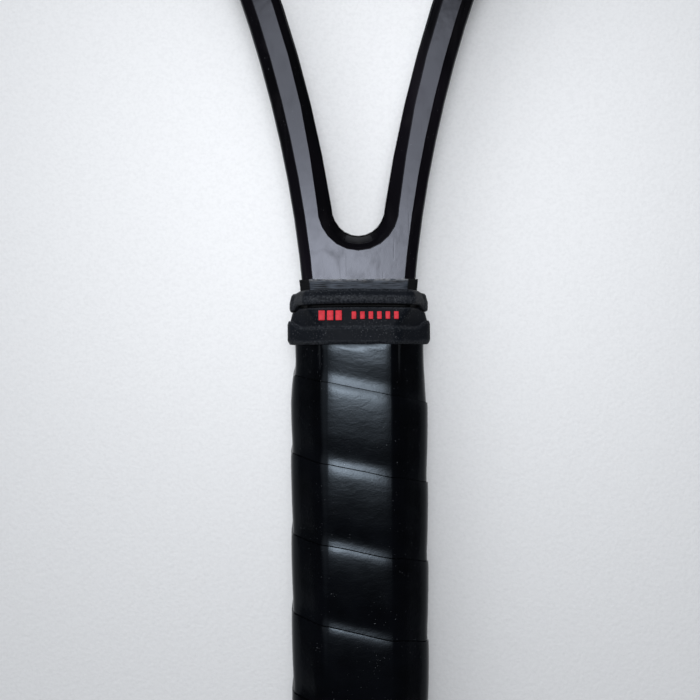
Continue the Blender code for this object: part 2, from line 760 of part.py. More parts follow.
def overgrip(material):
    """Overgrip wound down the handle in one helix, each turn lapping over the one above it."""
    lap_start = OVERGRIP_SINGLE + OVERGRIP_EASE
    lap = OVERGRIP_PITCH - lap_start
    rises = [(0.0, 1.0), (0.0, 0.0), (OVERGRIP_SINGLE, 0.0), (lap_start, 1.0)]
    rises += [(lap_start + lap / 3, 1.0), (lap_start + lap * 2 / 3, 1.0)]
    corners = len(grip_section(0.0))
    lengths = [0.0]
    outline = grip_section(GRIP_OFFSET)
    for index in range(corners):
        lengths.append(lengths[-1] + (outline[(index + 1) % corners] - outline[index]).length)
    front = next(index for index in range(corners) if outline[index].x > 0 > outline[index + 1].x)
    front_share = (lengths[front] + lengths[front + 1]) / 2 / lengths[-1]
    turns = math.ceil((HANDLE_LENGTH - GRIP_BOTTOM_Y) / OVERGRIP_PITCH) + 4
    top_seam = HANDLE_LENGTH - OVERGRIP_SEAM_DROP
    first = top_seam - OVERGRIP_PITCH * (turns - 2 + front_share)
    mesh = bmesh.new()
    rows = []
    for turn in range(turns + 1):
        for climb, rise in rises:
            row = []
            for index in range(corners):
                y = first + OVERGRIP_PITCH * (turn + lengths[index] / lengths[-1]) + climb
                offset = overgrip_bore(y) + OVERGRIP_THICKNESS + rise * OVERGRIP_LAP_RISE
                point = grip_section(flare(max(y, 0.0)) + offset)[index]
                row.append(mesh.verts.new((point.x, y, point.y)))
            rows.append(row)
    for number in range(len(rows) - len(rises) - 1):
        for index in range(corners):
            low = [rows[number][index], rows[number + 1][index]]
            shift = len(rises) if index == corners - 1 else 0
            after = (index + 1) % corners
            high = [rows[number + shift][after], rows[number + shift + 1][after]]
            mesh.faces.new((low[0], high[0], high[1], low[1]))
    bore_rows = [0.0] + flare_rows(GRIP_BOTTOM_Y) + skive_rows(BASE_GRIP_SKIVE)
    bore_rows.append(HANDLE_LENGTH + SHAFT_NECK)
    bore = []
    for y in bore_rows:
        section = grip_section(flare(y) + overgrip_bore(y))
        bore.append([mesh.verts.new(point) for point in ring(section, y)])
    for lower, upper in zip(bore, bore[1:]):
        for index in range(corners):
            after = (index + 1) % corners
            mesh.faces.new((lower[after], lower[index], upper[index], upper[after]))
    for y, outwards in ((GRIP_BOTTOM_Y, -1.0), (HANDLE_LENGTH, 1.0)):
        edges = slice_off(mesh, (0.0, y, 0.0), (0.0, outwards, 0.0))
        bmesh.ops.triangle_fill(mesh, edges=edges, use_beauty=True)
    bmesh.ops.recalc_face_normals(mesh, faces=mesh.faces)
    return add_piece("overgrip", mesh, material)


# Tape and collar


def finishing_tape(material):
    """Tape wound on the shaft, from the handle's top to just past the collar."""
    rows = [TAPE_BOTTOM_Y, THROAT_START_Y]
    rows += [THROAT_START_Y + (TAPE_TOP_Y - THROAT_START_Y) * share for share in (0.5, 1.0)]
    inside = [ring(beam_section(2 * shaft_half_width(y), SEAT_GAP), y) for y in rows]
    thick = SEAT_GAP + TAPE_THICKNESS
    outside = [ring(beam_section(2 * shaft_half_width(y), thick), y) for y in rows]
    return add_piece("finishing_tape", skin(outside + inside[::-1], tube=True), material)


def collar_section(y, wall):
    """The collar's section at y: the grip's octagon below, easing to the shaft's section above.

    The bore steps in fully. The outside keeps most of its height, so that its front stays nearly flat.
    """
    grip_clear = 2 * SEAT_GAP + OVERGRIP_THICKNESS + OVERGRIP_LAP_RISE
    shaft_clear = 2 * SEAT_GAP + TAPE_THICKNESS + COLLAR_TOP_EASE
    lower = handle_section(grip_clear + wall)
    upper = beam_section(2 * shaft_half_width(COLLAR_TOP_Y), shaft_clear + wall)
    share = smooth_step((y - HANDLE_LENGTH - SEAT_GAP) / COLLAR_STEP)
    lower = rounded(lower, COLLAR_CORNER_RADIUS, COLLAR_ARC_STEPS)
    upper = rounded(upper, COLLAR_CORNER_RADIUS, COLLAR_ARC_STEPS)
    rise_share = share * COLLAR_OUTER_TAPER if wall else share
    section = []
    for here, there in zip(lower, upper):
        section.append((here.lerp(there, share).x, here.lerp(there, rise_share).y))
    return section


def collar_sides(front_height, side_height):
    """Height of a rib's edge at each point round the collar: even on the front, bent in at the sides."""
    outline = rounded(handle_section(0.0), COLLAR_CORNER_RADIUS, COLLAR_ARC_STEPS)
    heights = []
    for index, here in enumerate(outline):
        after = outline[(index + 1) % len(outline)]
        normal = edge_normal(outline[index - 1], here) + edge_normal(here, after)
        turned = abs(normal.normalized().x) - COLLAR_BEND_START
        sideways = smooth_step(turned / (COLLAR_BEND_END - COLLAR_BEND_START))
        heights.append(front_height + (side_height - front_height) * sideways)
    return heights


def damper_collar(material):
    """Rubber ring over the top of the grip and the shaft. It slides up the shaft to free the grip."""
    floor = COLLAR_WALL
    lower = floor + COLLAR_LOWER_RIB_RISE
    upper = floor + COLLAR_UPPER_RIB_RISE
    edge = COLLAR_RIB_EDGE
    bottom_lip = collar_sides(COLLAR_PANEL_BOTTOM, COLLAR_GROOVE_BOTTOM)
    top_lip = collar_sides(COLLAR_PANEL_TOP, COLLAR_GROOVE_TOP)
    top_edge = collar_sides(COLLAR_HEIGHT, COLLAR_SIDE_HEIGHT)
    level = [0.0] * len(bottom_lip)

    def shifted(heights, by):
        return [height + by for height in heights]

    rows = [(level, lower - edge), (shifted(level, edge), lower)]
    rows += [(shifted(bottom_lip, -edge), lower), (bottom_lip, lower - edge)]
    rows += [(shifted(bottom_lip, edge / 2), floor), (shifted(top_lip, -edge / 2), floor)]
    rows += [(top_lip, upper - edge), (shifted(top_lip, edge), upper)]
    rows += [(shifted(top_edge, -COLLAR_TOP_SLOPE), upper), (shifted(top_edge, -edge), upper - edge)]
    rows += [(top_edge, floor - edge / 2), (top_edge, 0.0)]
    seat = HANDLE_LENGTH + SEAT_GAP - COLLAR_BOTTOM_Y
    bore = [seat + COLLAR_STEP * step / FLARE_STEPS for step in range(FLARE_STEPS, -1, -1)]
    rows += [(shifted(level, height), 0.0) for height in bore + [0.0]]
    rings = []
    for heights, wall in rows:
        points = []
        for index, height in enumerate(heights):
            y = COLLAR_BOTTOM_Y + height
            x, z = collar_section(y, wall)[index]
            points.append(Vector((x, y, z)))
        rings.append(points)
    mesh = skin(rings, tube=True)
    return add_piece("damper_collar", mesh, material, origin=(0.0, COLLAR_BOTTOM_Y, 0.0))


def main():
    for old in list(bpy.data.objects):
        bpy.data.objects.remove(old, do_unlink=True)
    empty = bpy.data.objects.new("racket", None)
    bpy.context.scene.collection.objects.link(empty)
    black_plastic = finish("black_plastic", (0.02, 0.02, 0.022), 0.5)
    carbon_frame(finish("lacquered_carbon", (0.008, 0.008, 0.009), 0.12))
    bumper_guard(black_plastic)
    grommet_strips(black_plastic)
    strings(finish("natural_string", (0.72, 0.68, 0.56), 0.35))
    handle_core(
        foam=finish("pallet_foam", (0.30, 0.27, 0.20), 0.85),
        plastic=black_plastic,
        plug=finish("plug_plastic", (0.05, 0.05, 0.055), 0.35),
        lead=finish("weight_metal", (0.30, 0.30, 0.31), 0.5, 1.0),
        steel=finish("staple_steel", (0.6, 0.6, 0.6), 0.3, 1.0),
    )
    base_grip(finish("base_grip_leather", (0.03, 0.03, 0.03), 0.6))
    overgrip(finish("overgrip_film", (0.012, 0.012, 0.014), 0.35))
    finishing_tape(finish("finishing_tape_cloth", (0.06, 0.06, 0.06), 0.8))
    damper_collar(finish("collar_rubber", (0.018, 0.019, 0.022), 0.55))


main()
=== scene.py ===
"""Looks of a strung tennis racket with a rubber damper collar at the top of its grip.

Metres, in the frame of the CAD part: +Y runs from the butt to the tip, +Z comes out of the strings.
"""

import math

import bmesh
import bpy
from bpy.props import FloatProperty, FloatVectorProperty, IntProperty, PointerProperty
from mathutils import Matrix, Vector, noise


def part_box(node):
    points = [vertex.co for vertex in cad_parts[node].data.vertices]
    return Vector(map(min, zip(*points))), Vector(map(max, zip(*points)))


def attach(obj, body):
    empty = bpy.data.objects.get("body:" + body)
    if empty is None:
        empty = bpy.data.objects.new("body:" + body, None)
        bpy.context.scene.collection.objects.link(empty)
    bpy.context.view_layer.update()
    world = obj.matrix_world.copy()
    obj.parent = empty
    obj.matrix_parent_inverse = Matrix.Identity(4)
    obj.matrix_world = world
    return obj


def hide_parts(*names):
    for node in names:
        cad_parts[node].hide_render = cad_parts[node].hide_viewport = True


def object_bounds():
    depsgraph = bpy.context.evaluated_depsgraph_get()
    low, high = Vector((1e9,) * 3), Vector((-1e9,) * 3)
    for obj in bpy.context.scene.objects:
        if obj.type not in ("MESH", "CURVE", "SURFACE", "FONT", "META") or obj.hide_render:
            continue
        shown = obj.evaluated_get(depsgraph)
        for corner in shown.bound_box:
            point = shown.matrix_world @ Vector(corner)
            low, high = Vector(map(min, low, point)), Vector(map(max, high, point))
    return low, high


bl_info = {
    "name": "Strung Racket",
    "version": (1, 0, 0),
    "blender": (4, 5, 0),
    "location": "View3D > Sidebar > Racket",
    "description": "Builds the looks of a strung racket around its CAD pieces",
    "category": "Object",
}

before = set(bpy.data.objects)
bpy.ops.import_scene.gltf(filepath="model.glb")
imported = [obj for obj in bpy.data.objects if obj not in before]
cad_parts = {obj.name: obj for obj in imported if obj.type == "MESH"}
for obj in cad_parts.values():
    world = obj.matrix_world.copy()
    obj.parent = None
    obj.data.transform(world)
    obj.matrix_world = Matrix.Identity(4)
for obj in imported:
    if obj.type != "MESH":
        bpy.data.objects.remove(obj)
CAD_LOW, CAD_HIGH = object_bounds()

# Places read from the CAD pieces
HANDLE_SIDE, HANDLE_TOP, HANDLE_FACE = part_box("pallet_front")[1]
GRIP_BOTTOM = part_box("overgrip")[0].y
GRIP_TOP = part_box("overgrip")[1].y
COLLAR_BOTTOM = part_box("damper_collar")[0].y
COLLAR_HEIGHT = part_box("damper_collar")[1].y - COLLAR_BOTTOM
TAPE_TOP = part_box("finishing_tape")[1].y
BEAM_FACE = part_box("carbon_frame")[1].z
STRING_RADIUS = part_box("main_string_01")[1].x - sum(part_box("main_string_01"), Vector()).x / 2
MAINS = sorted(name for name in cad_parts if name.startswith("main_string"))
CROSSES = sorted(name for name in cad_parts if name.startswith("cross_string"))

# Lengths and angles used only to tidy meshes
WELD = 0.000002
FLAT_ANGLE = math.radians(0.6)
SMOOTH_ANGLE = math.radians(38)
EDGE_ANGLE = math.radians(20)
MOULD_ANGLE = math.radians(30)

# Steps round a handle section: each corner's arc, then the flat after it
ARC_STEPS = 6
FLAT_STEPS = 12
ROUND_STEPS = 8 * (ARC_STEPS + FLAT_STEPS)
SPIN_RADIUS = 0.05

# Share of a bowed flat's half width that stays level
CROWN_START = 0.55


# Sizes and colours a user would change


def setting(kind, **limits):
    """A maker of settings of one kind."""

    def make(name, description, default):
        return kind(name=name, description=description, default=default, **limits)

    return make


length = setting(FloatProperty, unit="LENGTH", precision=5)
angle = setting(FloatProperty, unit="ROTATION")
lens = setting(FloatProperty, min=10.0)
brightness = setting(FloatProperty, min=0.0)
count = setting(IntProperty, min=0)
colour = setting(FloatVectorProperty, subtype="COLOR", size=3, min=0.0, max=1.0)


class FrameSettings(bpy.types.PropertyGroup):
    """The lacquered frame."""

    face_edge: length("Face edge", "Rounding where the flat face meets the bevel", 0.0002)
    wall_edge: length("Wall edge", "Rounding where the bevel meets the side wall", 0.0016)
    lacquer: colour("Lacquer", "Colour of the lacquer", (0.0028, 0.0028, 0.0035))
    lacquer_tint: colour("Lacquer tint", "Colour the lacquer drifts to", (0.0060, 0.0048, 0.0075))


class HeadSettings(bpy.types.PropertyGroup):
    """Strings, grommets and guard."""

    weave: length("Weave", "How far a string rises and dips at each crossing", 0.0007)
    barrel_radius: length("Grommet radius", "Radius of a grommet's barrel", 0.0013)
    barrel_show: length("Grommet show", "How far a barrel stands out of the hoop", 0.0013)
    filament: colour("String", "Colour of the strings", (0.70, 0.66, 0.53))
    plastic: colour("Guard plastic", "Colour of guard and grommets", (0.017, 0.017, 0.019))


class GripSettings(bpy.types.PropertyGroup):
    """Overgrip and finishing tape."""

    pitch: length("Pitch", "Climb of the overgrip in one turn", 0.0204)
    seam_drop: length("Seam drop", "Top seam below the handle's top, on the front", 0.0164)
    rise: length("Rise", "How far the double layer stands out", 0.0008)
    crease: length("Crease", "Depth of the seam", 0.0002)
    film: colour("Film", "Colour of the overgrip", (0.0011, 0.0013, 0.0019))
    cloth: colour("Tape", "Colour of the finishing tape", (0.0072, 0.0084, 0.0105))


class CollarSettings(bpy.types.PropertyGroup):
    """The damper collar."""

    marks: count("Marks", "Raised bars on each face", 9)
    tall_marks: count("Tall marks", "How many of them are taller", 3)
    mark_pitch: length("Mark pitch", "Distance between the bars", 0.00212)
    mark_width: length("Mark width", "Width of a bar", 0.0013)
    mark_height: length("Mark height", "Height of a tall bar", 0.0025)
    rubber: colour("Rubber", "Colour of the collar", (0.0047, 0.0060, 0.0088))
    mark: colour("Mark", "Colour of the raised bars", (0.62, 0.030, 0.045))


class StageSettings(bpy.types.PropertyGroup):
    """Camera, floor and light."""

    camera_height: length("Camera height", "Height of the camera above the strings", 0.300)
    camera_x: length("Camera X", "Camera's place across the racket", -0.0023)
    camera_y: length("Camera Y", "Camera's place along the racket", 0.1914)
    camera_roll: angle("Camera roll", "Turn of the picture", math.radians(-0.29))
    focal_length: lens("Focal length", "Lens in millimetres", 58.5)
    floor: colour("Floor", "Colour of the floor", (0.95, 0.95, 0.955))
    zenith: brightness("Overhead light", "Brightness of the light above", 32.0)
    window: brightness("Window light", "Brightness of the lights beyond the tip", 0.5)
    side: brightness("Side light", "Brightness of the wide light on the left", 1.5)
    room: brightness("Room light", "Brightness all round", 0.05)


# Finishes


class Nodes:
    """Adds nodes to one shader tree."""

    def __init__(self, tree):
        self.tree = tree
        self.coordinates = tree.nodes.new("ShaderNodeTexCoord")

    def feed(self, socket, value):
        """Links a node's output to the socket, or sets a constant on it."""
        if isinstance(value, bpy.types.NodeSocket):
            self.tree.links.new(value, socket)
        else:
            socket.default_value = value

    def node(self, kind, inputs, output=0, **settings):
        made = self.tree.nodes.new("ShaderNode" + kind)
        for setting, value in settings.items():
            setattr(made, setting, value)
        for socket, value in inputs.items():
            self.feed(made.inputs[socket], value)
        return made.outputs[output]

    def between(self, value, low, high, start=0.0, end=1.0, **settings):
        """The value's span from low to high, spread over start to end."""
        inputs = {"Value": value, "From Min": low, "From Max": high, "To Min": start, "To Max": end}
        return self.node("MapRange", inputs, **settings)

    def maths(self, operation, first, second):
        return self.node("Math", {0: first, 1: second}, operation=operation)


class Finish(Nodes):
    """One procedural material on Object coordinates."""

    def __init__(self, name, metallic=0.0):
        self.material = bpy.data.materials.new(name)
        self.material.use_nodes = True
        super().__init__(self.material.node_tree)
        self.place = self.coordinates.outputs["Object"]
        self.shader = self.tree.nodes["Principled BSDF"]
        self.shader.inputs["Metallic"].default_value = metallic

    def grain(self, per_metre, stretch=(1.0, 1.0, 1.0), detail=3.0, warp=0.0):
        """Cloudy noise with that many cells to the metre."""
        place = self.node("Mapping", {"Vector": self.place, "Scale": stretch})
        inputs = {"Vector": place, "Scale": per_metre, "Detail": detail, "Distortion": warp}
        return self.node("TexNoise", inputs)

    def blend(self, share, first, second):
        """Colour going from first to second."""
        inputs = {0: share, 6: first, 7: second}
        return self.node("Mix", inputs, output=2, data_type="RGBA")

    def mottle(self, per_metre, detail, rgb, low, high):
        """The colour, cloudy between two depths of tone."""
        cloud = self.between(self.grain(per_metre, detail=detail), 0.3, 0.7)
        return self.blend(cloud, tone(rgb, low), tone(rgb, high))

    def attribute(self, name):
        return self.node("Attribute", {}, output=2, attribute_name=name)

    def relief(self, height, strength, distance):
        """Bump from the height."""
        bump = self.node("Bump", {"Height": height, "Strength": strength, "Distance": distance})
        self.tree.links.new(bump, self.shader.inputs["Normal"])

    def finish(self, base, roughness, shine=0.5, sheen=(1.0, 1.0, 1.0)):
        self.feed(self.shader.inputs["Base Color"], base)
        self.feed(self.shader.inputs["Roughness"], roughness)
        self.shader.inputs["Specular IOR Level"].default_value = shine
        self.shader.inputs["Specular Tint"].default_value = tone(sheen)
        return self.material


def tone(rgb, scale=1.0):
    """A colour with its alpha."""
    return (rgb[0] * scale, rgb[1] * scale, rgb[2] * scale, 1.0)


def lacquer_finish(settings):
    """Glossy black lacquer with smudges, dust and fine scratches."""
    paint = Finish("lacquered_carbon")
    drift = paint.between(paint.grain(32.0), 0.35, 0.65)
    base = paint.blend(drift, tone(settings.lacquer), tone(settings.lacquer_tint))
    film = paint.grain(140.0, stretch=(1.0, 0.35, 1.0), detail=6.0, warp=0.8)
    haze = paint.between(film, 0.50, 0.78, 0.0, 0.4)
    base = paint.blend(haze, base, (0.020, 0.018, 0.021, 1.0))
    specks = paint.between(paint.grain(2100.0, detail=1.0), 0.745, 0.775)
    zones = paint.between(paint.grain(85.0, detail=2.0), 0.48, 0.70, 0.0, 0.55)
    dust = paint.maths("MULTIPLY", specks, zones)
    base = paint.blend(dust, base, (0.20, 0.20, 0.22, 1.0))
    wiped = paint.grain(1.0, stretch=(260.0, 170.0, 100.0), detail=6.0, warp=0.6)
    smudge = paint.between(wiped, 0.46, 0.76, 0.05, 0.20)
    roughness = paint.maths("ADD", smudge, paint.between(dust, 0.0, 1.0, 0.0, 0.4))
    scratches = paint.grain(900.0, stretch=(1.0, 0.05, 1.0), detail=2.0, warp=0.2)
    lines = paint.between(scratches, 0.66, 0.70)
    peel = paint.maths("ADD", paint.grain(420.0), paint.maths("MULTIPLY", lines, -0.35))
    paint.relief(peel, 0.035, 0.0004)
    return paint.finish(base, roughness, 0.12, (0.84, 0.87, 1.0))


def film_finish(settings):
    """Tacky black overgrip film with stretch wrinkles and dust."""
    paint = Finish("overgrip_film")
    base = paint.mottle(130.0, 5.0, settings.film, 0.8, 1.7)
    specks = paint.between(paint.grain(2600.0, detail=1.0), 0.75, 0.78)
    zones = paint.between(paint.grain(110.0, detail=2.0), 0.45, 0.70, 0.02, 0.6)
    dust = paint.maths("MULTIPLY", specks, zones)
    base = paint.blend(dust, base, (0.22, 0.23, 0.25, 1.0))
    roughness = paint.between(paint.grain(190.0, detail=5.0), 0.3, 0.75, 0.11, 0.18)
    stretch = paint.grain(1.0, stretch=(420.0, 700.0, 420.0), detail=5.0, warp=0.6)
    pores = paint.grain(3000.0, detail=2.0)
    height = paint.maths("ADD", stretch, paint.maths("MULTIPLY", pores, 0.4))
    paint.relief(height, 0.06, 0.00035)
    return paint.finish(base, roughness, 0.145, (0.74, 0.87, 1.0))


def rubber_finish(settings):
    """Matte moulded rubber, dusty in patches, paler along its worn edges, with painted shade in the
    crease under the upper rib.
    """
    paint = Finish("collar_rubber")
    base = paint.mottle(240.0, 6.0, settings.rubber, 0.9, 1.1)
    rubs = paint.between(paint.grain(2300.0), 0.35, 0.7)
    wear = paint.maths("MULTIPLY", paint.attribute("wear"), rubs)
    base = paint.blend(paint.maths("MULTIPLY", wear, 0.40), base, (0.075, 0.080, 0.090, 1.0))
    specks = paint.between(paint.grain(2600.0, detail=2.0), 0.60, 0.74)
    zones = paint.between(paint.grain(160.0, detail=3.0), 0.42, 0.68, 0.08, 0.8)
    dust = paint.maths("MULTIPLY", specks, zones)
    base = paint.blend(dust, base, (0.11, 0.115, 0.125, 1.0))
    # Painted shade: the crease under the upper rib takes a tenth of the rubber's colour.
    base = paint.blend(paint.attribute("crease"), base, tone(settings.rubber, 0.1))
    roughness = paint.between(paint.grain(320.0, detail=5.0), 0.3, 0.7, 0.50, 0.56)
    grit = paint.maths("ADD", paint.grain(2600.0, detail=4.0), paint.maths("MULTIPLY", dust, 0.5))
    paint.relief(grit, 0.10, 0.0003)
    return paint.finish(base, roughness, 0.05)


def mark_finish(settings):
    """Red rubber of the raised bars, a little dirty."""
    paint = Finish("collar_red")
    grime = paint.between(paint.grain(900.0, detail=5.0), 0.45, 0.75, 0.0, 0.6)
    base = paint.blend(grime, tone(settings.mark), tone(settings.mark, 0.45))
    roughness = paint.between(paint.grain(1200.0), 0.3, 0.7, 0.42, 0.6)
    paint.relief(paint.grain(2600.0), 0.15, 0.0002)
    return paint.finish(base, roughness, 0.15)


def tape_finish(settings):
    """Cloth tape with fibres running round the shaft, a pale frayed edge, and painted shade
    darkening its sides.
    """
    paint = Finish("finishing_tape_cloth")
    fibres = paint.grain(1.0, stretch=(260.0, 4200.0, 260.0), detail=4.0)
    streaks = paint.between(fibres, 0.35, 0.68)
    base = paint.blend(streaks, tone(settings.cloth, 0.5), tone(settings.cloth, 11.0))
    # Painted shade: the tape's sides take a third of the cloth's colour, while its front and back
    # keep the fibres.
    base = paint.blend(paint.attribute("rubbed"), tone(settings.cloth, 0.3), base)
    worn = paint.between(paint.grain(1.0, stretch=(900.0, 2200.0, 900.0), detail=3.0), 0.36, 0.58)
    fray = paint.maths("MULTIPLY", paint.attribute("fray"), worn)
    base = paint.blend(paint.maths("MULTIPLY", fray, 0.6), base, (0.34, 0.34, 0.35, 1.0))
    weave = paint.maths("ADD", fibres, paint.maths("MULTIPLY", paint.grain(3800.0), 0.5))
    paint.relief(weave, 0.4, 0.0004)
    return paint.finish(base, paint.between(fibres, 0.3, 0.7, 0.34, 0.60), 0.10)


def plastic_finish(name, rgb, gloss):
    """Moulded plastic with a fine spark texture and light scuffs."""
    paint = Finish(name)
    base = paint.mottle(90.0, 5.0, rgb, 0.8, 1.35)
    rubs = paint.grain(1.0, stretch=(420.0, 420.0, 1900.0), detail=4.0)
    scuffs = paint.between(rubs, 0.63, 0.72, 0.0, 0.35)
    base = paint.blend(scuffs, base, tone(rgb, 6.0))
    roughness = paint.between(paint.grain(260.0, detail=4.0), 0.3, 0.7, gloss - 0.07, gloss + 0.09)
    paint.relief(paint.grain(2400.0, detail=3.0), 0.18, 0.0002)
    return paint.finish(base, roughness, 0.25)


def string_finish(settings):
    """Multifilament string with a faintly uneven skin."""
    paint = Finish("natural_string")
    base = paint.mottle(60.0, 4.0, settings.filament, 0.88, 1.08)
    skin = paint.grain(2400.0, detail=2.0)
    paint.relief(skin, 0.12, 0.0002)
    return paint.finish(base, paint.between(skin, 0.3, 0.7, 0.28, 0.42), 0.25)


def foam_finish():
    """Cast foam of the handle core."""
    paint = Finish("pallet_foam")
    cells = paint.grain(1500.0, detail=4.0)
    share = paint.between(cells, 0.35, 0.65)
    base = paint.blend(share, (0.22, 0.20, 0.15, 1.0), (0.36, 0.33, 0.25, 1.0))
    paint.relief(cells, 0.5, 0.0005)
    return paint.finish(base, paint.between(cells, 0.3, 0.7, 0.75, 0.95))


def leather_finish():
    """Base grip under the overgrip."""
    paint = Finish("base_grip_leather")
    creases = paint.grain(520.0, detail=6.0, warp=0.8)
    share = paint.between(creases, 0.35, 0.65)
    base = paint.blend(share, (0.020, 0.019, 0.018, 1.0), (0.045, 0.042, 0.040, 1.0))
    paint.relief(creases, 0.4, 0.0005)
    return paint.finish(base, paint.between(creases, 0.3, 0.7, 0.5, 0.75))


def metal_finish(name, rgb, gloss):
    """Dull or bright metal with brushed variation."""
    paint = Finish(name, metallic=1.0)
    brushed = paint.grain(1.0, stretch=(300.0, 2600.0, 300.0), detail=3.0)
    base = paint.blend(paint.between(brushed, 0.3, 0.7), tone(rgb, 0.8), tone(rgb, 1.1))
    paint.relief(brushed, 0.15, 0.0002)
    return paint.finish(base, paint.between(brushed, 0.3, 0.7, gloss - 0.08, gloss + 0.1))


# Meshes


def add_piece(name, mesh, material, body, replaced=()):
    """A finished piece that rides on a body and stands for CAD nodes."""
    data = bpy.data.meshes.new(name)
    mesh.to_mesh(data)
    mesh.free()
    data.shade_smooth()
    data.set_sharp_from_angle(angle=SMOOTH_ANGLE)
    data.materials.append(material)
    piece = bpy.data.objects.new(name, data)
    bpy.context.scene.collection.objects.link(piece)
    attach(piece, body)
    if replaced:
        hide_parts(*replaced)
    return piece


def keep_flats(piece):
    """Shades large flat faces flat and lets the rounded edges carry the turn."""
    weights = piece.modifiers.new("flat_faces", "WEIGHTED_NORMAL")
    weights.keep_sharp = True
    weights.weight = 100


def dress(node, material):
    """Gives a CAD node a better material."""
    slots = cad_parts[node].data.materials
    slots.clear()
    slots.append(material)


def whole_copy(node):
    """A CAD node's mesh welded into one skin, with its flat faces whole again."""
    mesh = bmesh.new()
    mesh.from_mesh(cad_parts[node].data)
    bmesh.ops.remove_doubles(mesh, verts=mesh.verts, dist=WELD)
    bmesh.ops.dissolve_limit(mesh, angle_limit=FLAT_ANGLE, verts=mesh.verts, edges=mesh.edges)
    return mesh


def round_edges(mesh, edges, width, segments):
    bmesh.ops.bevel(
        mesh,
        geom=edges,
        offset=width,
        offset_type="OFFSET",
        segments=segments,
        profile=0.5,
        affect="EDGES",
        clamp_overlap=True,
        material=-1,
    )


def sharp_edges(mesh, least=EDGE_ANGLE):
    return [edge for edge in mesh.edges if edge.is_manifold and edge.calc_face_angle() > least]


def face_outwards(mesh):
    bmesh.ops.recalc_face_normals(mesh, faces=mesh.faces)


def add_moulded(node, width, segments, material, body, top=math.inf):
    """A CAD node with its sharp edges rounded, up to a height."""
    mesh = whole_copy(node)
    sharp = sharp_edges(mesh, MOULD_ANGLE)
    shown = [edge for edge in sharp if all(vert.co.y < top for vert in edge.verts)]
    round_edges(mesh, shown, width, segments)
    face_outwards(mesh)
    keep_flats(add_piece("moulded_" + node, mesh, material, body, [node]))


def smooth_step(value):
    bounded = min(1.0, max(0.0, value))
    return bounded * bounded * (3 - 2 * bounded)


def octagon(side, face, corner_x, corner_z):
    """A handle section in X and Z, anticlockwise from the lower end of its right side."""
    right = [(side, corner_z - face), (side, face - corner_z), (side - corner_x, face)]
    left = [(corner_x - side, face), (-side, face - corner_z), (-side, corner_z - face)]
    back = [(corner_x - side, -face), (side - corner_x, -face)]
    return [Vector(point) for point in right + left + back]


def outward(start, end):
    along = end - start
    return Vector((along.y, -along.x)).normalized()


def grown(points, distance):
    """The outline moved outwards, with mitred corners."""
    moved = []
    for index, here in enumerate(points):
        first = outward(points[index - 1], here)
        second = outward(here, points[(index + 1) % len(points)])
        moved.append(here + (first + second) * distance / (1 + first.dot(second)))
    return moved


def curve(start, leaving, end, arriving, share):
    """A place on the smooth curve from start to end that leaves and arrives at the two rates."""
    rest = 1 - share
    ends = start * rest**2 * (1 + 2 * share) + end * share**2 * (3 - 2 * share)
    return ends + (leaving * rest - arriving * share) * share * rest


def section_ring(points, radius, crown=0.0):
    """Places and normals round an outline: each soft corner, then its flat, which a crown bows."""
    sides = []
    inner = grown(points, -radius)
    count = len(points)
    for index in range(count):
        normal = outward(points[index], points[(index + 1) % count])
        start = inner[index] + normal * radius
        end = inner[(index + 1) % count] + normal * radius
        slope = 4 * crown / (1 - CROWN_START) / (end - start).length
        sides.append((start, end, normal, normal * slope))
    places = []
    for index, (start, end, normal, rise) in enumerate(sides):
        last_start, last_end, last_normal, last_rise = sides[index - 1]
        first, last = last_end - last_normal * crown, start - normal * crown
        reach = (last - first).length
        leaving = ((last_end - last_start).normalized() - last_rise).normalized() * reach
        arriving = ((end - start).normalized() + rise).normalized() * reach
        for step in range(ARC_STEPS):
            share = step / ARC_STEPS
            place = curve(first, leaving, last, arriving, share)
            places.append((place, last_normal.lerp(normal, share).normalized()))
        for step in range(FLAT_STEPS):
            edge = abs(2 * step / FLAT_STEPS - 1)
            fall = max(0.0, (edge - CROWN_START) / (1 - CROWN_START)) ** 2
            places.append((start.lerp(end, step / FLAT_STEPS) - normal * crown * fall, normal))
    return places


def ring_shares(ring):
    """How far round the outline each place is, from 0 to 1."""
    lengths = [0.0]
    for index in range(len(ring)):
        lengths.append(lengths[-1] + (ring[(index + 1) % len(ring)][0] - ring[index][0]).length)
    return [value / lengths[-1] for value in lengths[:-1]]


def spin_profile(profile, climb=0.0):
    """A profile of (Y, offset) points spun once round the handle's line, on a plain circle."""
    mesh = bmesh.new()
    verts = [mesh.verts.new((SPIN_RADIUS + offset, y, 0.0)) for y, offset in profile]
    edges = [mesh.edges.new(pair) for pair in zip(verts, verts[1:])]
    if not climb:
        edges.append(mesh.edges.new((verts[-1], verts[0])))
    bmesh.ops.spin(
        mesh,
        geom=verts + edges,
        cent=(0.0, 0.0, 0.0),
        axis=(0.0, -1.0, 0.0),
        dvec=(0.0, climb / ROUND_STEPS, 0.0),
        angle=math.tau,
        steps=ROUND_STEPS,
        use_merge=not climb,
    )
    return mesh


def stack_turns(mesh, climb, turns):
    """One wound turn repeated up the handle and joined into one helix."""
    turn = mesh.verts[:] + mesh.edges[:] + mesh.faces[:]
    for number in range(1, turns):
        made = bmesh.ops.duplicate(mesh, geom=turn)["geom"]
        verts = [part for part in made if isinstance(part, bmesh.types.BMVert)]
        bmesh.ops.translate(mesh, verts=verts, vec=(0.0, climb * number, 0.0))
    bmesh.ops.remove_doubles(mesh, verts=mesh.verts, dist=WELD)


def round_place(vert):
    """Which step of the ring a spun vertex is on, its height and its offset."""
    turn = math.atan2(vert.co.z, vert.co.x) / math.tau
    offset = math.hypot(vert.co.x, vert.co.z) - SPIN_RADIUS
    return round(turn * ROUND_STEPS) % ROUND_STEPS, vert.co.y, offset


def float_layer(mesh, name):
    return mesh.verts.layers.float.new(name)


# Frame

# How level a face is, from 0 for a wall to 1 for a flat face
WALL_MOST = 0.1
BEVEL_LEAST = 0.4
BEVEL_MOST = 0.97
FLAT_LEAST = 0.99

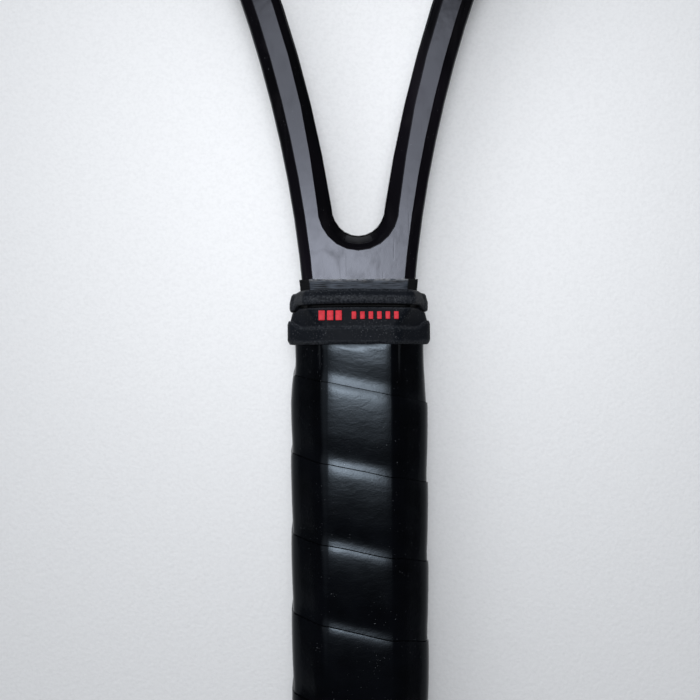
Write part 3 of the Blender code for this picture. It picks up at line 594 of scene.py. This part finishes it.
# How far a vertex has to look sideways to be on a shoulder, and to the tip to be in the crotch
SIDEWAYS_LEAST = 0.1
TIPWARDS_LEAST = 0.5

# The throat's rim and shoulder: how far they move from the plain bevel
THROAT_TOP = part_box("throat_grommet_strip")[0].y
RIM_DEPTH = 0.0003
RIM_DRAW = 0.00045
RIM_EASE = 0.0004
BEVEL_SLOPE = 0.87
SHOULDER_DROP = 0.0035
SHOULDER_END = 0.285


def slopes(edge):
    """How level the two faces beside an edge are."""
    return sorted(abs(face.normal.z) for face in edge.link_faces)


def into_throat(vert):
    """Which way a vertex looks into the throat's opening, or nothing if it looks elsewhere."""
    across = sum((face.normal for face in vert.link_faces), Vector()).to_2d()
    if across.length < SIDEWAYS_LEAST or not TAPE_TOP < vert.co.y < THROAT_TOP:
        return None
    across.normalize()
    return across if across.x * vert.co.x < 0 or across.y > TIPWARDS_LEAST else None


def shape_throat(mesh, corner):
    """Turns the throat's shoulder further down its wall and fits the face's rim to it."""
    rim = {vert for vert in mesh.verts if abs(vert.co.z) > BEAM_FACE - RIM_DEPTH}
    shoulder = {vert for vert in mesh.verts if vert[corner].length > 0}
    places = {vert: into_throat(vert) for vert in rim | shoulder}
    inside = [vert for vert in shoulder if places[vert]]
    reach = {vert: (vert[corner] - vert.co).to_2d().dot(places[vert]) for vert in inside}
    widest = max(reach.values())
    for vert, across in places.items():
        if across:
            leads = vert in rim or any(edge.other_vert(vert) in rim for edge in vert.link_edges)
            share = 1.0 if leads else min(1.0, max(0.0, reach[vert] / widest))
            fade = 1 - smooth_step((vert.co.y - SHOULDER_END) / (THROAT_TOP - SHOULDER_END))
            draw = RIM_DRAW * across.x**2 * fade
            lift = 0.0 if vert in rim else draw * BEVEL_SLOPE
            drop = SHOULDER_DROP * (1 - share) ** 2 * max(0.0, across.y) ** 2
            step = across * ((draw if vert in rim else 0.0) - RIM_EASE * across.y**2 * share * fade)
            vert.co += Vector((step.x, step.y, (lift - drop) * math.copysign(1.0, vert.co.z)))


def build_frame(settings):
    """The lacquered frame: crisp face edges, soft shoulders on the walls."""
    node = "carbon_frame"
    mesh = whole_copy(node)
    face_outwards(mesh)
    corner = mesh.verts.layers.float_vector.new("corner")
    sharp = [(edge, slopes(edge)) for edge in sharp_edges(mesh)]
    upright = [(edge, high) for edge, (low, high) in sharp if low < WALL_MOST]
    walls = [edge for edge, high in upright if BEVEL_LEAST < high < BEVEL_MOST]
    for edge in walls:
        for vert in edge.verts:
            vert[corner] = vert.co if into_throat(vert) else Vector()
    round_edges(mesh, walls, settings.wall_edge, 5)
    sharp = [(edge, slopes(edge)) for edge in sharp_edges(mesh)]
    rims = [edge for edge, (low, high) in sharp if low < BEVEL_MOST and high > FLAT_LEAST]
    round_edges(mesh, rims, settings.face_edge, 2)
    face_outwards(mesh)
    shape_throat(mesh, corner)
    mesh.verts.layers.float_vector.remove(corner)
    material = lacquer_finish(settings)
    keep_flats(add_piece("racket_frame", mesh, material, "racket", [node]))


# Head

STRING_STEP = 0.0022
BARREL_TAPER = 0.86
BARREL_ROUNDING = 0.22
GUARD_EDGE = 0.0003


def middle(node):
    low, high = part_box(node)
    return (low + high) / 2


def wave(at, crossings, first_side, ends):
    """Rise or dip of a woven string: full at each crossing, none at its ends."""
    if at <= crossings[0]:
        reach = (crossings[0] - at) / (crossings[0] - ends[0])
        return first_side * math.cos(math.pi / 2 * min(1.0, reach))
    for index, (here, there) in enumerate(zip(crossings, crossings[1:])):
        if at <= there:
            side = first_side * (-1) ** index
            return side * math.cos(math.pi * (at - here) / (there - here))
    side = first_side * (-1) ** (len(crossings) - 1)
    reach = (at - crossings[-1]) / (ends[1] - crossings[-1])
    return side * math.cos(math.pi / 2 * min(1.0, reach))


def append(mesh, part):
    """Adds a part's mesh to the whole."""
    data = bpy.data.meshes.new("part")
    part.to_mesh(data)
    part.free()
    mesh.from_mesh(data)
    bpy.data.meshes.remove(data)


def add_barrel(mesh, segments, radius, end_radius, depth, place):
    """A capped barrel along Z, moved to its place."""
    made = bmesh.ops.create_cone(
        mesh,
        cap_ends=True,
        segments=segments,
        radius1=radius,
        radius2=end_radius,
        depth=depth,
        matrix=place,
    )
    return made["verts"]


def woven_string(node, axis, crossings, first_side, settings):
    """One string run: a long barrel, bent over and under what it crosses."""
    low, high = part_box(node)
    centre = (low + high) / 2
    centre.z = 0.0
    ends = (low[axis], high[axis])
    reach = ends[1] - ends[0] + 2 * settings.barrel_show
    turn = Matrix.Rotation(math.pi / 2, 4, "Y" if axis == 0 else "X")
    part = bmesh.new()
    place = Matrix.Translation(centre) @ turn
    add_barrel(part, 8, STRING_RADIUS, STRING_RADIUS, reach, place)
    long_edges = [edge for edge in part.edges if edge.calc_length() > reach / 2]
    bmesh.ops.subdivide_edges(part, edges=long_edges, cuts=max(8, round(reach / STRING_STEP)))
    inside = [at for at in crossings if ends[0] < at < ends[1]]
    side = first_side * (-1) ** crossings.index(inside[0])
    for vert in part.verts:
        vert.co.z += settings.weave * wave(vert.co[axis], inside, side, ends)
    return part


def build_strings(settings):
    """Main and cross strings woven through each other."""
    columns = sorted(middle(node).x for node in MAINS)
    rows = sorted(middle(node).y for node in CROSSES)
    material = string_finish(settings)
    for name, nodes, axis, crossings, side in (
        ("main_strings", MAINS, 1, rows, 1),
        ("cross_strings", CROSSES, 0, columns, -1),
    ):
        mesh = bmesh.new()
        across = columns if axis == 1 else rows
        for node in nodes:
            order = across.index(middle(node)[1 - axis])
            append(mesh, woven_string(node, axis, crossings, side * (-1) ** order, settings))
        add_piece(name, mesh, material, "racket", nodes)


def build_grommets(settings, material):
    """Barrels where the strings go into the hoop."""
    radius = settings.barrel_radius
    depth = 2 * settings.barrel_show
    mesh = bmesh.new()
    for nodes, axis in ((MAINS, 1), (CROSSES, 0)):
        for node in nodes:
            low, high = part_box(node)
            for end, way in ((low, 1), (high, -1)):
                place = middle(node)
                place.z = 0.0
                place[axis] = end[axis]
                lean = Vector((0.0, 0.0, 0.0))
                lean[axis] = way
                turn = Vector((0.0, 0.0, 1.0)).rotation_difference(lean).to_matrix().to_4x4()
                seat = Matrix.Translation(place) @ turn
                verts = add_barrel(mesh, 12, radius, radius * BARREL_TAPER, depth, seat)
                tip = {
                    edge
                    for vert in verts
                    for edge in vert.link_edges
                    if all((other.co - place).dot(lean) > 0 for other in edge.verts)
                }
                round_edges(mesh, list(tip), radius * BARREL_ROUNDING, 2)
    add_piece("grommet_barrels", mesh, material, "racket")


def build_guard(settings):
    """Bumper guard and grommet strips with moulded edges, and the barrels."""
    material = plastic_finish("grommet_plastic", settings.plastic, 0.46)
    strips = ("grommet_strip_left", "grommet_strip_right", "throat_grommet_strip")
    for node in ("bumper_guard", *strips):
        add_moulded(node, GUARD_EDGE, 2, material, "racket")
    build_grommets(settings, material)


# Handle

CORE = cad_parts["pallet_front"].data.vertices
HANDLE_CORNER = HANDLE_SIDE - max(vert.co.x for vert in CORE if vert.co.z > HANDLE_FACE - WELD)
SEAT_GAP = 0.0003
BASE_GRIP_THICKNESS = 0.0009
BASE_GRIP_TOP = 0.190
BASE_GRIP_SKIVE = 0.014
FILM_THICKNESS = 0.0006
FRONT_FALL = 0.0002
FRONT_FALL_LENGTH = 0.012
TUCK_LENGTH = 0.0022
FLARE_RISE = 0.0025
FLARE_LENGTH = 0.028
GRIP_ROUNDING = 0.0017
BEVEL_EASE = 0.0006
CROWN = 0.00008
FACING_FALL = 1.6
SIDE_RISE = 0.5
SEAM_LIP = 0.00008
FILM_STRETCH = 0.9
SPARE_TURNS = 3
TOP_TURNS = 2
CAP_EDGE = 0.0004

# Unevenness of the wound film: how far it goes, and how many swells there are to the metre
SEAM_SWAY = 0.00035
SWAY_RATE = 75.0
FILM_RIPPLE = 0.000006
RIPPLE_RATE = Vector((150.0, 620.0, 150.0))
FILM_BULGE = 0.00003
BULGE_RATE = 110.0
BULGE_START = Vector((3.0, 7.0, 1.0))

# Finishing tape's frayed edge
TAPE_STEP = 0.0009
FRAY_REACH = 0.0007
FRAY_TEETH = 0.00022
TEETH_RATE = 1400.0
FRAY_SWAY = 0.0001
FRAY_SWAY_RATE = 300.0

# One turn of film, from the seam at its foot to the seam at its top: share of pitch, share of rise
FILM_STOPS = [
    (0.0, 0.09),
    (0.04, 0.03),
    (0.08, 0.0),
    (0.13, 0.035),
    (0.20, 0.175),
    (0.35, 0.51),
    (0.45, 0.66),
    (0.60, 0.845),
    (0.70, 0.935),
    (0.80, 0.99),
    (0.88, 1.0),
    (0.93, 0.965),
    (0.97, 0.90),
    (1.0, 0.82),
]


def build_core():
    """Materials of the pieces inside the handle, and the butt cap and plug with soft edges."""
    foam = foam_finish()
    lead = metal_finish("weight_metal", (0.30, 0.30, 0.31), 0.50)
    steel = metal_finish("staple_steel", (0.60, 0.60, 0.60), 0.30)
    for node, material in (
        ("pallet_front", foam),
        ("pallet_back", foam),
        ("balance_weight", lead),
        ("butt_staple_left", steel),
        ("butt_staple_right", steel),
        ("base_grip", leather_finish()),
    ):
        dress(node, material)
    for node, body, slot, rgb, gloss in (
        ("butt_cap", "racket", "cap_plastic", (0.020, 0.020, 0.022), 0.42),
        ("butt_plug", "plug", "plug_plastic", (0.045, 0.045, 0.050), 0.36),
    ):
        material = plastic_finish(slot, rgb, gloss)
        add_moulded(node, CAP_EDGE, 3, material, body, GRIP_BOTTOM)


def flare(y):
    return FLARE_RISE * max(0.0, 1 - y / FLARE_LENGTH) ** 2


def skive(y):
    return smooth_step((y - BASE_GRIP_TOP + BASE_GRIP_SKIVE) / BASE_GRIP_SKIVE)


def film_offset(y, facing):
    """How far the film's single layer stands off the core: facing is 0 on a side, 1 on a face."""
    full = SEAT_GAP + BASE_GRIP_THICKNESS + SEAT_GAP + FILM_THICKNESS
    base = BASE_GRIP_THICKNESS * skive(y) + SEAT_GAP * skive(y - BASE_GRIP_SKIVE / 2)
    tuck = smooth_step((y - COLLAR_BOTTOM) / TUCK_LENGTH)
    front = FRONT_FALL * smooth_step((y - COLLAR_BOTTOM + FRONT_FALL_LENGTH) / FRONT_FALL_LENGTH)
    front += (BASE_GRIP_THICKNESS + SEAT_GAP - FRONT_FALL) * tuck
    return full - base + (base - front) * facing


def film_rise(share, settings):
    """Height of one turn at a share of the way from the seam at its foot to the seam at its top."""
    index = next(number for number in range(1, len(FILM_STOPS)) if share <= FILM_STOPS[number][0])
    start, end = FILM_STOPS[index - 1], FILM_STOPS[index]
    before = FILM_STOPS[max(index - 2, 0)]
    after = FILM_STOPS[min(index + 1, len(FILM_STOPS) - 1)]
    span = end[0] - start[0]
    leaving = (end[1] - before[1]) / (end[0] - before[0]) * span
    arriving = (after[1] - start[1]) / (after[0] - start[0]) * span
    return settings.rise * curve(start[1], leaving, end[1], arriving, (share - start[0]) / span)


def film_profile(settings):
    """One turn of film from seam to seam."""
    lip = SEAM_LIP / settings.pitch
    shares = [lip]
    for (start, _), (end, _) in zip(FILM_STOPS, FILM_STOPS[1:]):
        shares += [(start + end) / 2, end]
    shares[-1] = 1 - lip
    turn = [(share * settings.pitch, film_rise(share, settings)) for share in shares]
    return [(0.0, -settings.crease)] + turn + [(settings.pitch, -settings.crease)]


def build_overgrip(settings):
    """The overgrip wound down the handle, each turn lapping over the one above it."""
    outline = octagon(HANDLE_SIDE, HANDLE_FACE, HANDLE_CORNER, HANDLE_CORNER - BEVEL_EASE)
    ring = section_ring(outline, GRIP_ROUNDING, CROWN)
    shares = ring_shares(ring)
    front = min(
        (index for index in range(ROUND_STEPS) if ring[index][0].y > 0),
        key=lambda index: abs(ring[index][0].x),
    )
    turns = math.ceil((GRIP_TOP - GRIP_BOTTOM) / settings.pitch) + SPARE_TURNS
    first = GRIP_TOP - settings.seam_drop - settings.pitch * (turns - TOP_TURNS + shares[front])
    profile = [(first + climb, rise) for climb, rise in film_profile(settings)]
    mesh = spin_profile(profile, settings.pitch)
    stack_turns(mesh, settings.pitch, turns)
    for vert in mesh.verts:
        step, y, rise = round_place(vert)
        y += settings.pitch * (shares[step] - step / ROUND_STEPS)
        place, normal = ring[step]
        where = Vector((place.x, y, place.y))
        sway = noise.noise(where * SWAY_RATE) * SEAM_SWAY
        ripple = noise.noise(where * RIPPLE_RATE) * FILM_RIPPLE
        bulge = noise.noise(where * BULGE_RATE + BULGE_START) * FILM_BULGE
        facing = abs(normal.y) ** FACING_FALL
        stand = flare(max(0.0, y)) + film_offset(y, facing) + ripple + bulge
        stand += rise * (SIDE_RISE + (1 - SIDE_RISE) * facing)
        vert.co = (place.x + normal.x * stand, y + sway, place.y + normal.y * stand)
    for y, outwards in ((GRIP_BOTTOM, -1.0), (GRIP_TOP, 1.0)):
        bmesh.ops.bisect_plane(
            mesh,
            geom=mesh.verts[:] + mesh.edges[:] + mesh.faces[:],
            dist=WELD / 10,
            plane_co=(0.0, y, 0.0),
            plane_no=(0.0, outwards, 0.0),
            clear_outer=True,
        )
    face_outwards(mesh)
    material = film_finish(settings)
    piece = add_piece("wound_overgrip", mesh, material, "racket", ["overgrip"])
    wall = piece.modifiers.new("film_thickness", "SOLIDIFY")
    wall.thickness = FILM_THICKNESS * FILM_STRETCH
    wall.offset = -1.0


def build_tape(settings):
    """Finishing tape with a ragged, frayed upper edge, its sides marked for painted shade."""
    mesh = whole_copy("finishing_tape")
    bmesh.ops.triangulate(mesh, faces=[face for face in mesh.faces if len(face.verts) > 4])
    for _ in range(3):
        long_edges = [edge for edge in mesh.edges if edge.calc_length() > TAPE_STEP]
        bmesh.ops.subdivide_edges(mesh, edges=long_edges, cuts=2, use_grid_fill=True)
    bmesh.ops.triangulate(mesh, faces=mesh.faces)
    fray = float_layer(mesh, "fray")
    rubbed = float_layer(mesh, "rubbed")
    for vert in mesh.verts:
        near = max(0.0, 1 - (TAPE_TOP - vert.co.y) / FRAY_REACH)
        # Front and back faces keep the cloth's colour; the sides are marked for painted shade, and
        # the fray keeps off them.
        vert[rubbed] = 1.0 if abs(vert.co.z) > BEAM_FACE else 0.0
        vert[fray] = near * vert[rubbed]
        teeth = noise.noise(vert.co * TEETH_RATE) * FRAY_TEETH
        sway = noise.noise(vert.co * FRAY_SWAY_RATE) * FRAY_SWAY
        vert.co.y += near * (teeth + sway)
    add_piece("wound_tape", mesh, tape_finish(settings), "racket", ["finishing_tape"])


# Collar

COLLAR_WALL = 0.0008
LOWER_RIB = 0.0015
UPPER_RIB = 0.0018
RIB_SLOPE = 0.0018
BLUNT_END = 0.3
CREASE_DEPTH = 0.0002
PANEL_BOTTOM = 0.0041
PANEL_TOP = 0.0100
GROOVE_BOTTOM = 0.0061
GROOVE_TOP = 0.0085
BEND_START = 0.80
BEND_END = 1.02
SIDE_HEIGHT = COLLAR_HEIGHT - 0.0006
GRIP_CLEAR = 0.0016
SHAFT_CLEAR = 0.0017
COLLAR_STEP = 0.0045
OUTER_TAPER = 0.2
SHAFT_SIDE = 0.01433
SHAFT_BEVEL_X = 0.0028
SHAFT_BEVEL_Z = 0.0030
COLLAR_CORNER = 0.0022
TOP_BOW = 0.0004
BORE_EASE = 0.0006
WEAR_WIDTH = 0.00045
COLLAR_EDGE = 0.00022
BORE_LEAD = 0.0005

# The outside from the foot up: height, offset
COLLAR_OUTSIDE = [
    (0.0, 0.0009),
    (0.0007, LOWER_RIB),
    (PANEL_BOTTOM - 0.0006, LOWER_RIB),
    (PANEL_BOTTOM, LOWER_RIB - 0.0002),
    (PANEL_BOTTOM + 0.0002, COLLAR_WALL),
    (PANEL_TOP - 0.0010, COLLAR_WALL),
    (PANEL_TOP - 0.0008, CREASE_DEPTH),
    (PANEL_TOP - 0.0002, CREASE_DEPTH),
    (PANEL_TOP, UPPER_RIB - 0.0003),
    (PANEL_TOP + 0.0006, UPPER_RIB),
    (COLLAR_HEIGHT - RIB_SLOPE, UPPER_RIB),
    (COLLAR_HEIGHT - 0.0004, UPPER_RIB - 0.0007),
    (COLLAR_HEIGHT, 0.0006),
]

# Heights of the ribs' edges: on the front, on the sides
RIB_HEIGHTS = [
    (0.0, 0.0),
    (PANEL_BOTTOM, GROOVE_BOTTOM),
    (PANEL_TOP, GROOVE_TOP),
    (COLLAR_HEIGHT, SIDE_HEIGHT),
]

# Raised bars: sizes, then shares of the pitch, width and height in the settings
BAR_DEPTH = 0.0008
BAR_EDGE = 0.00016
BAR_GAP = 0.4
TALL_WIDTH = 1.25
LOW_WIDTH = 0.9
LOW_HEIGHT = 0.78


def with_margins(profile):
    """Adds points close to both ends of each long run, so that wear keeps to the edges."""
    fuller = []
    for index, here in enumerate(profile):
        there = profile[(index + 1) % len(profile)]
        run = math.dist(here, there)
        fuller.append(here)
        if run > 3 * WEAR_WIDTH:
            for share in (WEAR_WIDTH / run, 1 - WEAR_WIDTH / run):
                pairs = zip(here, there)
                fuller.append(tuple(start + (end - start) * share for start, end in pairs))
    return fuller


def collar_profile():
    """Ribs and panel up the outside, and the bore down the inside."""
    seat = HANDLE_TOP + SEAT_GAP - COLLAR_BOTTOM
    bore = [COLLAR_HEIGHT, seat + COLLAR_STEP, seat + COLLAR_STEP / 2, seat]
    inside = [(height, 0.0) for height in bore] + [(BORE_LEAD, BORE_EASE), (0.0, BORE_EASE)]
    return with_margins(COLLAR_OUTSIDE + inside)


def bent_height(height, sideways):
    """Height of a rib's edge, bent towards the groove on the sides."""
    for (front_low, side_low), (front_high, side_high) in zip(RIB_HEIGHTS, RIB_HEIGHTS[1:]):
        if height <= front_high:
            share = (height - front_low) / (front_high - front_low)
            side = side_low + (side_high - side_low) * share
            return height + (side - height) * sideways
    raise ValueError("height above the collar")


class CollarForm:
    """Where a point of the collar's plain ring goes on the racket."""

    def __init__(self):
        lower = grown(octagon(HANDLE_SIDE, HANDLE_FACE, HANDLE_CORNER, HANDLE_CORNER), GRIP_CLEAR)
        upper = grown(octagon(SHAFT_SIDE, BEAM_FACE, SHAFT_BEVEL_X, SHAFT_BEVEL_Z), SHAFT_CLEAR)
        self.side = HANDLE_SIDE + GRIP_CLEAR
        self.lower = section_ring(lower, COLLAR_CORNER)
        self.upper = section_ring(upper, COLLAR_CORNER)

    def place(self, step, height, offset):
        low, low_normal = self.lower[step]
        high, high_normal = self.upper[step]
        sideways = smooth_step((abs(low.x) / self.side - BEND_START) / (BEND_END - BEND_START))
        if offset > WELD and height > COLLAR_HEIGHT - RIB_SLOPE:
            offset += (UPPER_RIB - offset) * BLUNT_END * sideways
        height = bent_height(height, sideways)
        share = smooth_step((COLLAR_BOTTOM + height - HANDLE_TOP - SEAT_GAP) / COLLAR_STEP)
        rise_share = share * OUTER_TAPER if offset > WELD else share
        normal = low_normal.lerp(high_normal, share).normalized()
        point = Vector((low.lerp(high, share).x, low.lerp(high, rise_share).y)) + normal * offset
        bow = TOP_BOW * max(0.0, 1 - (point.x / HANDLE_SIDE) ** 2) * height / COLLAR_HEIGHT
        return Vector((point.x, COLLAR_BOTTOM + height + bow - TOP_BOW / 2, point.y))


def build_collar(settings):
    """The damper collar: two ribs, the sunk panel between them and raised red bars on it."""
    mesh = spin_profile(collar_profile())
    face_outwards(mesh)
    sharp = sharp_edges(mesh)
    hoops = [edge for edge in sharp if abs(edge.verts[0].co.y - edge.verts[1].co.y) < WELD]
    wear = float_layer(mesh, "wear")
    for edge in hoops:
        for vert in edge.verts:
            vert[wear] = 1.0
    round_edges(mesh, hoops, COLLAR_EDGE, 3)
    form = CollarForm()
    # Vertices in the crease under the upper rib, marked for painted shade in the rubber.
    crease = float_layer(mesh, "crease")
    for vert in mesh.verts:
        step, height, offset = round_place(vert)
        vert[crease] = 1.0 if WELD < offset < 2 * CREASE_DEPTH else 0.0
        vert.co = form.place(step, height, offset)
    face_outwards(mesh)
    material = rubber_finish(settings)
    add_piece("moulded_collar", mesh, material, "collar", ["damper_collar"])
    build_marks(settings, form)


def build_marks(settings, form):
    """A row of raised bars on the front and back of the panel, the first few of them taller."""
    mesh = bmesh.new()
    height = (PANEL_BOTTOM + PANEL_TOP) / 2
    reach = settings.mark_height / 2
    gap = settings.mark_pitch * BAR_GAP
    for face in (1, -1):
        flat = [step for step in range(ROUND_STEPS) if form.lower[step][1].y * face > FLAT_LEAST]
        low = form.place(flat[len(flat) // 2], height - reach, COLLAR_WALL)
        high = form.place(flat[len(flat) // 2], height + reach, COLLAR_WALL)
        lean = Matrix.Rotation(math.atan2(high.z - low.z, high.y - low.y), 4, "X")
        for number in range(settings.marks):
            tall = number < settings.tall_marks
            x = (number - (settings.marks - 1) / 2) * settings.mark_pitch
            x += -gap if tall else gap
            width = settings.mark_width * (TALL_WIDTH if tall else LOW_WIDTH)
            rise = settings.mark_height * (1.0 if tall else LOW_HEIGHT)
            place = Matrix.Translation((x, (low.y + high.y) / 2, (low.z + high.z) / 2))
            part = bmesh.new()
            size = Matrix.Diagonal((width, rise, BAR_DEPTH, 1.0))
            bmesh.ops.create_cube(part, size=1.0, matrix=place @ lean @ size)
            round_edges(part, part.edges[:], BAR_EDGE, 2)
            append(mesh, part)
    add_piece("collar_bars", mesh, mark_finish(settings), "collar")


# Stage

OVERHEAD = (-0.02, 0.035, 1.0)
FLOOR_SIZE = 9.0

# The floor's colour carries a painted pool of light: palest under the throat, darker outwards
PAINTED_POOL_Y = 0.2464
PAINTED_POOL_REACH = 0.13
OUTSIDE_POOL_TONE = 0.38


class Sky(Nodes):
    """The world's light, added up from soft round lights."""

    def __init__(self, world, even):
        super().__init__(world.node_tree)
        self.place = self.coordinates.outputs["Generated"]
        self.total = self.maths("ADD", even, 0.0)

    def towards(self, direction):
        """Cosine of the angle from the direction."""
        inputs = {0: self.place, 1: Vector(direction).normalized()}
        return self.node("VectorMath", inputs, output="Value", operation="DOT_PRODUCT")

    def lamp(self, direction, inner, outer, strength):
        """A soft disc: full inside one angle in degrees, gone outside the other."""
        edge, full = (math.cos(math.radians(angle)) for angle in (outer, inner))
        span = (self.towards(direction), edge, full, 0.0, strength)
        disc = self.between(*span, interpolation_type="SMOOTHSTEP")
        self.total = self.maths("ADD", self.total, disc)

    def glow(self, direction, tightness, strength):
        """A spot that fades evenly outwards."""
        near = self.maths("POWER", self.maths("MAXIMUM", self.towards(direction), 0.0), tightness)
        self.total = self.maths("ADD", self.total, self.maths("MULTIPLY", near, strength))


def build_sky(settings):
    """Soft light from above, from the left and from beyond the tip, in a dim even room."""
    world = bpy.data.worlds.new("studio")
    world.use_nodes = True
    bpy.context.scene.world = world
    sky = Sky(world, settings.room)
    sky.glow(OVERHEAD, 260.0, settings.zenith * 0.85)
    sky.glow(OVERHEAD, 75.0, settings.zenith * 0.18)
    sky.lamp((0.0, 0.194, 1.0), 5, 10, settings.zenith * 0.35)
    sky.lamp((-0.45, 0.45, 0.77), 15, 50, settings.side)
    sky.lamp((-0.24, 0.74, 0.62), 10, 30, settings.window)
    sky.lamp((0.22, 0.76, 0.60), 10, 30, settings.window * 0.5)
    back = world.node_tree.nodes["Background"]
    back.inputs["Color"].default_value = (0.94, 0.965, 1.0, 1.0)
    world.node_tree.links.new(sky.total, back.inputs["Strength"])


def build_floor(settings):
    """A pale table top under the racket, its colour painted with a pool of light round the throat.
    """
    mesh = bmesh.new()
    place = Matrix.Translation((0.0, settings.camera_y, CAD_LOW.z))
    bmesh.ops.create_grid(mesh, x_segments=8, y_segments=8, size=FLOOR_SIZE, matrix=place)
    data = bpy.data.meshes.new("floor")
    mesh.to_mesh(data)
    mesh.free()
    paint = Finish("pale_floor")
    cloud = paint.between(paint.grain(6.0, detail=5.0), 0.3, 0.7)
    base = paint.blend(cloud, tone(settings.floor, 0.985), tone(settings.floor, 1.01))
    # Painted pool of light: the floor's colour dims with distance from the centre under the throat.
    centre = (0.0, PAINTED_POOL_Y, CAD_LOW.z)
    away = paint.node("VectorMath", {0: paint.place, 1: centre}, output=1, operation="DISTANCE")
    reach = paint.maths("POWER", paint.maths("DIVIDE", away, PAINTED_POOL_REACH), 2.0)
    pale = paint.maths("DIVIDE", 1.0, paint.maths("ADD", reach, 1.0))
    base = paint.blend(pale, tone(settings.floor, OUTSIDE_POOL_TONE), base)
    pits = paint.between(paint.grain(1200.0, detail=1.0), 0.40, 0.70, 0.0, 0.07)
    base = paint.blend(pits, base, tone(settings.floor, 0.35))
    paint.relief(paint.grain(900.0, detail=2.0), 0.22, 0.0005)
    data.materials.append(paint.finish(base, paint.between(cloud, 0.0, 1.0, 0.55, 0.6)))
    floor = bpy.data.objects.new("floor", data)
    bpy.context.scene.collection.objects.link(floor)


def build_camera(settings):
    """Camera straight above the top of the handle."""
    data = bpy.data.cameras.new("camera")
    data.lens = settings.focal_length
    camera = bpy.data.objects.new("camera", data)
    camera.location = (settings.camera_x, settings.camera_y, settings.camera_height)
    camera.rotation_euler = (0.0, 0.0, settings.camera_roll)
    data.clip_start = 0.01
    bpy.context.scene.collection.objects.link(camera)
    bpy.context.scene.camera = camera


# Operators


class RACKET_OT_stage(bpy.types.Operator):
    """Adds the camera, the floor and the light"""

    bl_idname = "racket.stage"
    bl_label = "Stage"

    def execute(self, context):
        settings = context.scene.racket_stage
        build_camera(settings)
        build_floor(settings)
        build_sky(settings)
        context.scene.view_settings.view_transform = "Standard"
        return {"FINISHED"}


class RACKET_OT_frame(bpy.types.Operator):
    """Adds the lacquered frame"""

    bl_idname = "racket.frame"
    bl_label = "Frame"

    def execute(self, context):
        build_frame(context.scene.racket_frame)
        return {"FINISHED"}


class RACKET_OT_head(bpy.types.Operator):
    """Adds the woven strings, the guard and the grommets"""

    bl_idname = "racket.head"
    bl_label = "Strings and guard"

    def execute(self, context):
        settings = context.scene.racket_head
        build_strings(settings)
        build_guard(settings)
        return {"FINISHED"}


class RACKET_OT_core(bpy.types.Operator):
    """Finishes the handle core, the butt cap and the plug"""

    bl_idname = "racket.core"
    bl_label = "Handle core and butt"

    def execute(self, context):
        build_core()
        return {"FINISHED"}


class RACKET_OT_grip(bpy.types.Operator):
    """Adds the wound overgrip and the finishing tape"""

    bl_idname = "racket.grip"
    bl_label = "Overgrip and tape"

    def execute(self, context):
        settings = context.scene.racket_grip
        build_overgrip(settings)
        build_tape(settings)
        return {"FINISHED"}


class RACKET_OT_collar(bpy.types.Operator):
    """Adds the damper collar and its raised bars"""

    bl_idname = "racket.collar"
    bl_label = "Damper collar"

    def execute(self, context):
        build_collar(context.scene.racket_collar)
        return {"FINISHED"}


OPERATORS = (
    RACKET_OT_stage,
    RACKET_OT_frame,
    RACKET_OT_head,
    RACKET_OT_core,
    RACKET_OT_grip,
    RACKET_OT_collar,
)
SETTINGS = {
    "racket_frame": FrameSettings,
    "racket_head": HeadSettings,
    "racket_grip": GripSettings,
    "racket_collar": CollarSettings,
    "racket_stage": StageSettings,
}


class RACKET_PT_pieces(bpy.types.Panel):
    """Lists the racket's pieces"""

    bl_idname = "RACKET_PT_pieces"
    bl_label = "Racket"
    bl_space_type = "VIEW_3D"
    bl_region_type = "UI"
    bl_category = "Racket"

    def draw(self, context):
        for operator in OPERATORS:
            self.layout.operator(operator.bl_idname)
        for name, group in SETTINGS.items():
            box = self.layout.box()
            for field in group.__annotations__:
                box.prop(getattr(context.scene, name), field)


def register():
    for name, group in SETTINGS.items():
        bpy.utils.register_class(group)
        setattr(bpy.types.Scene, name, PointerProperty(type=group))
    for made in (*OPERATORS, RACKET_PT_pieces):
        bpy.utils.register_class(made)


def unregister():
    for made in (RACKET_PT_pieces, *reversed(OPERATORS)):
        bpy.utils.unregister_class(made)
    for name, group in SETTINGS.items():
        delattr(bpy.types.Scene, name)
        bpy.utils.unregister_class(group)


def main():
    for name in ("Cube", "Light", "Camera"):
        old = bpy.data.objects.get(name)
        if old:
            bpy.data.objects.remove(old, do_unlink=True)
    register()
    for operator in OPERATORS:
        getattr(bpy.ops.racket, operator.bl_idname.split(".")[1])()


if __name__ == "__main__":
    main()
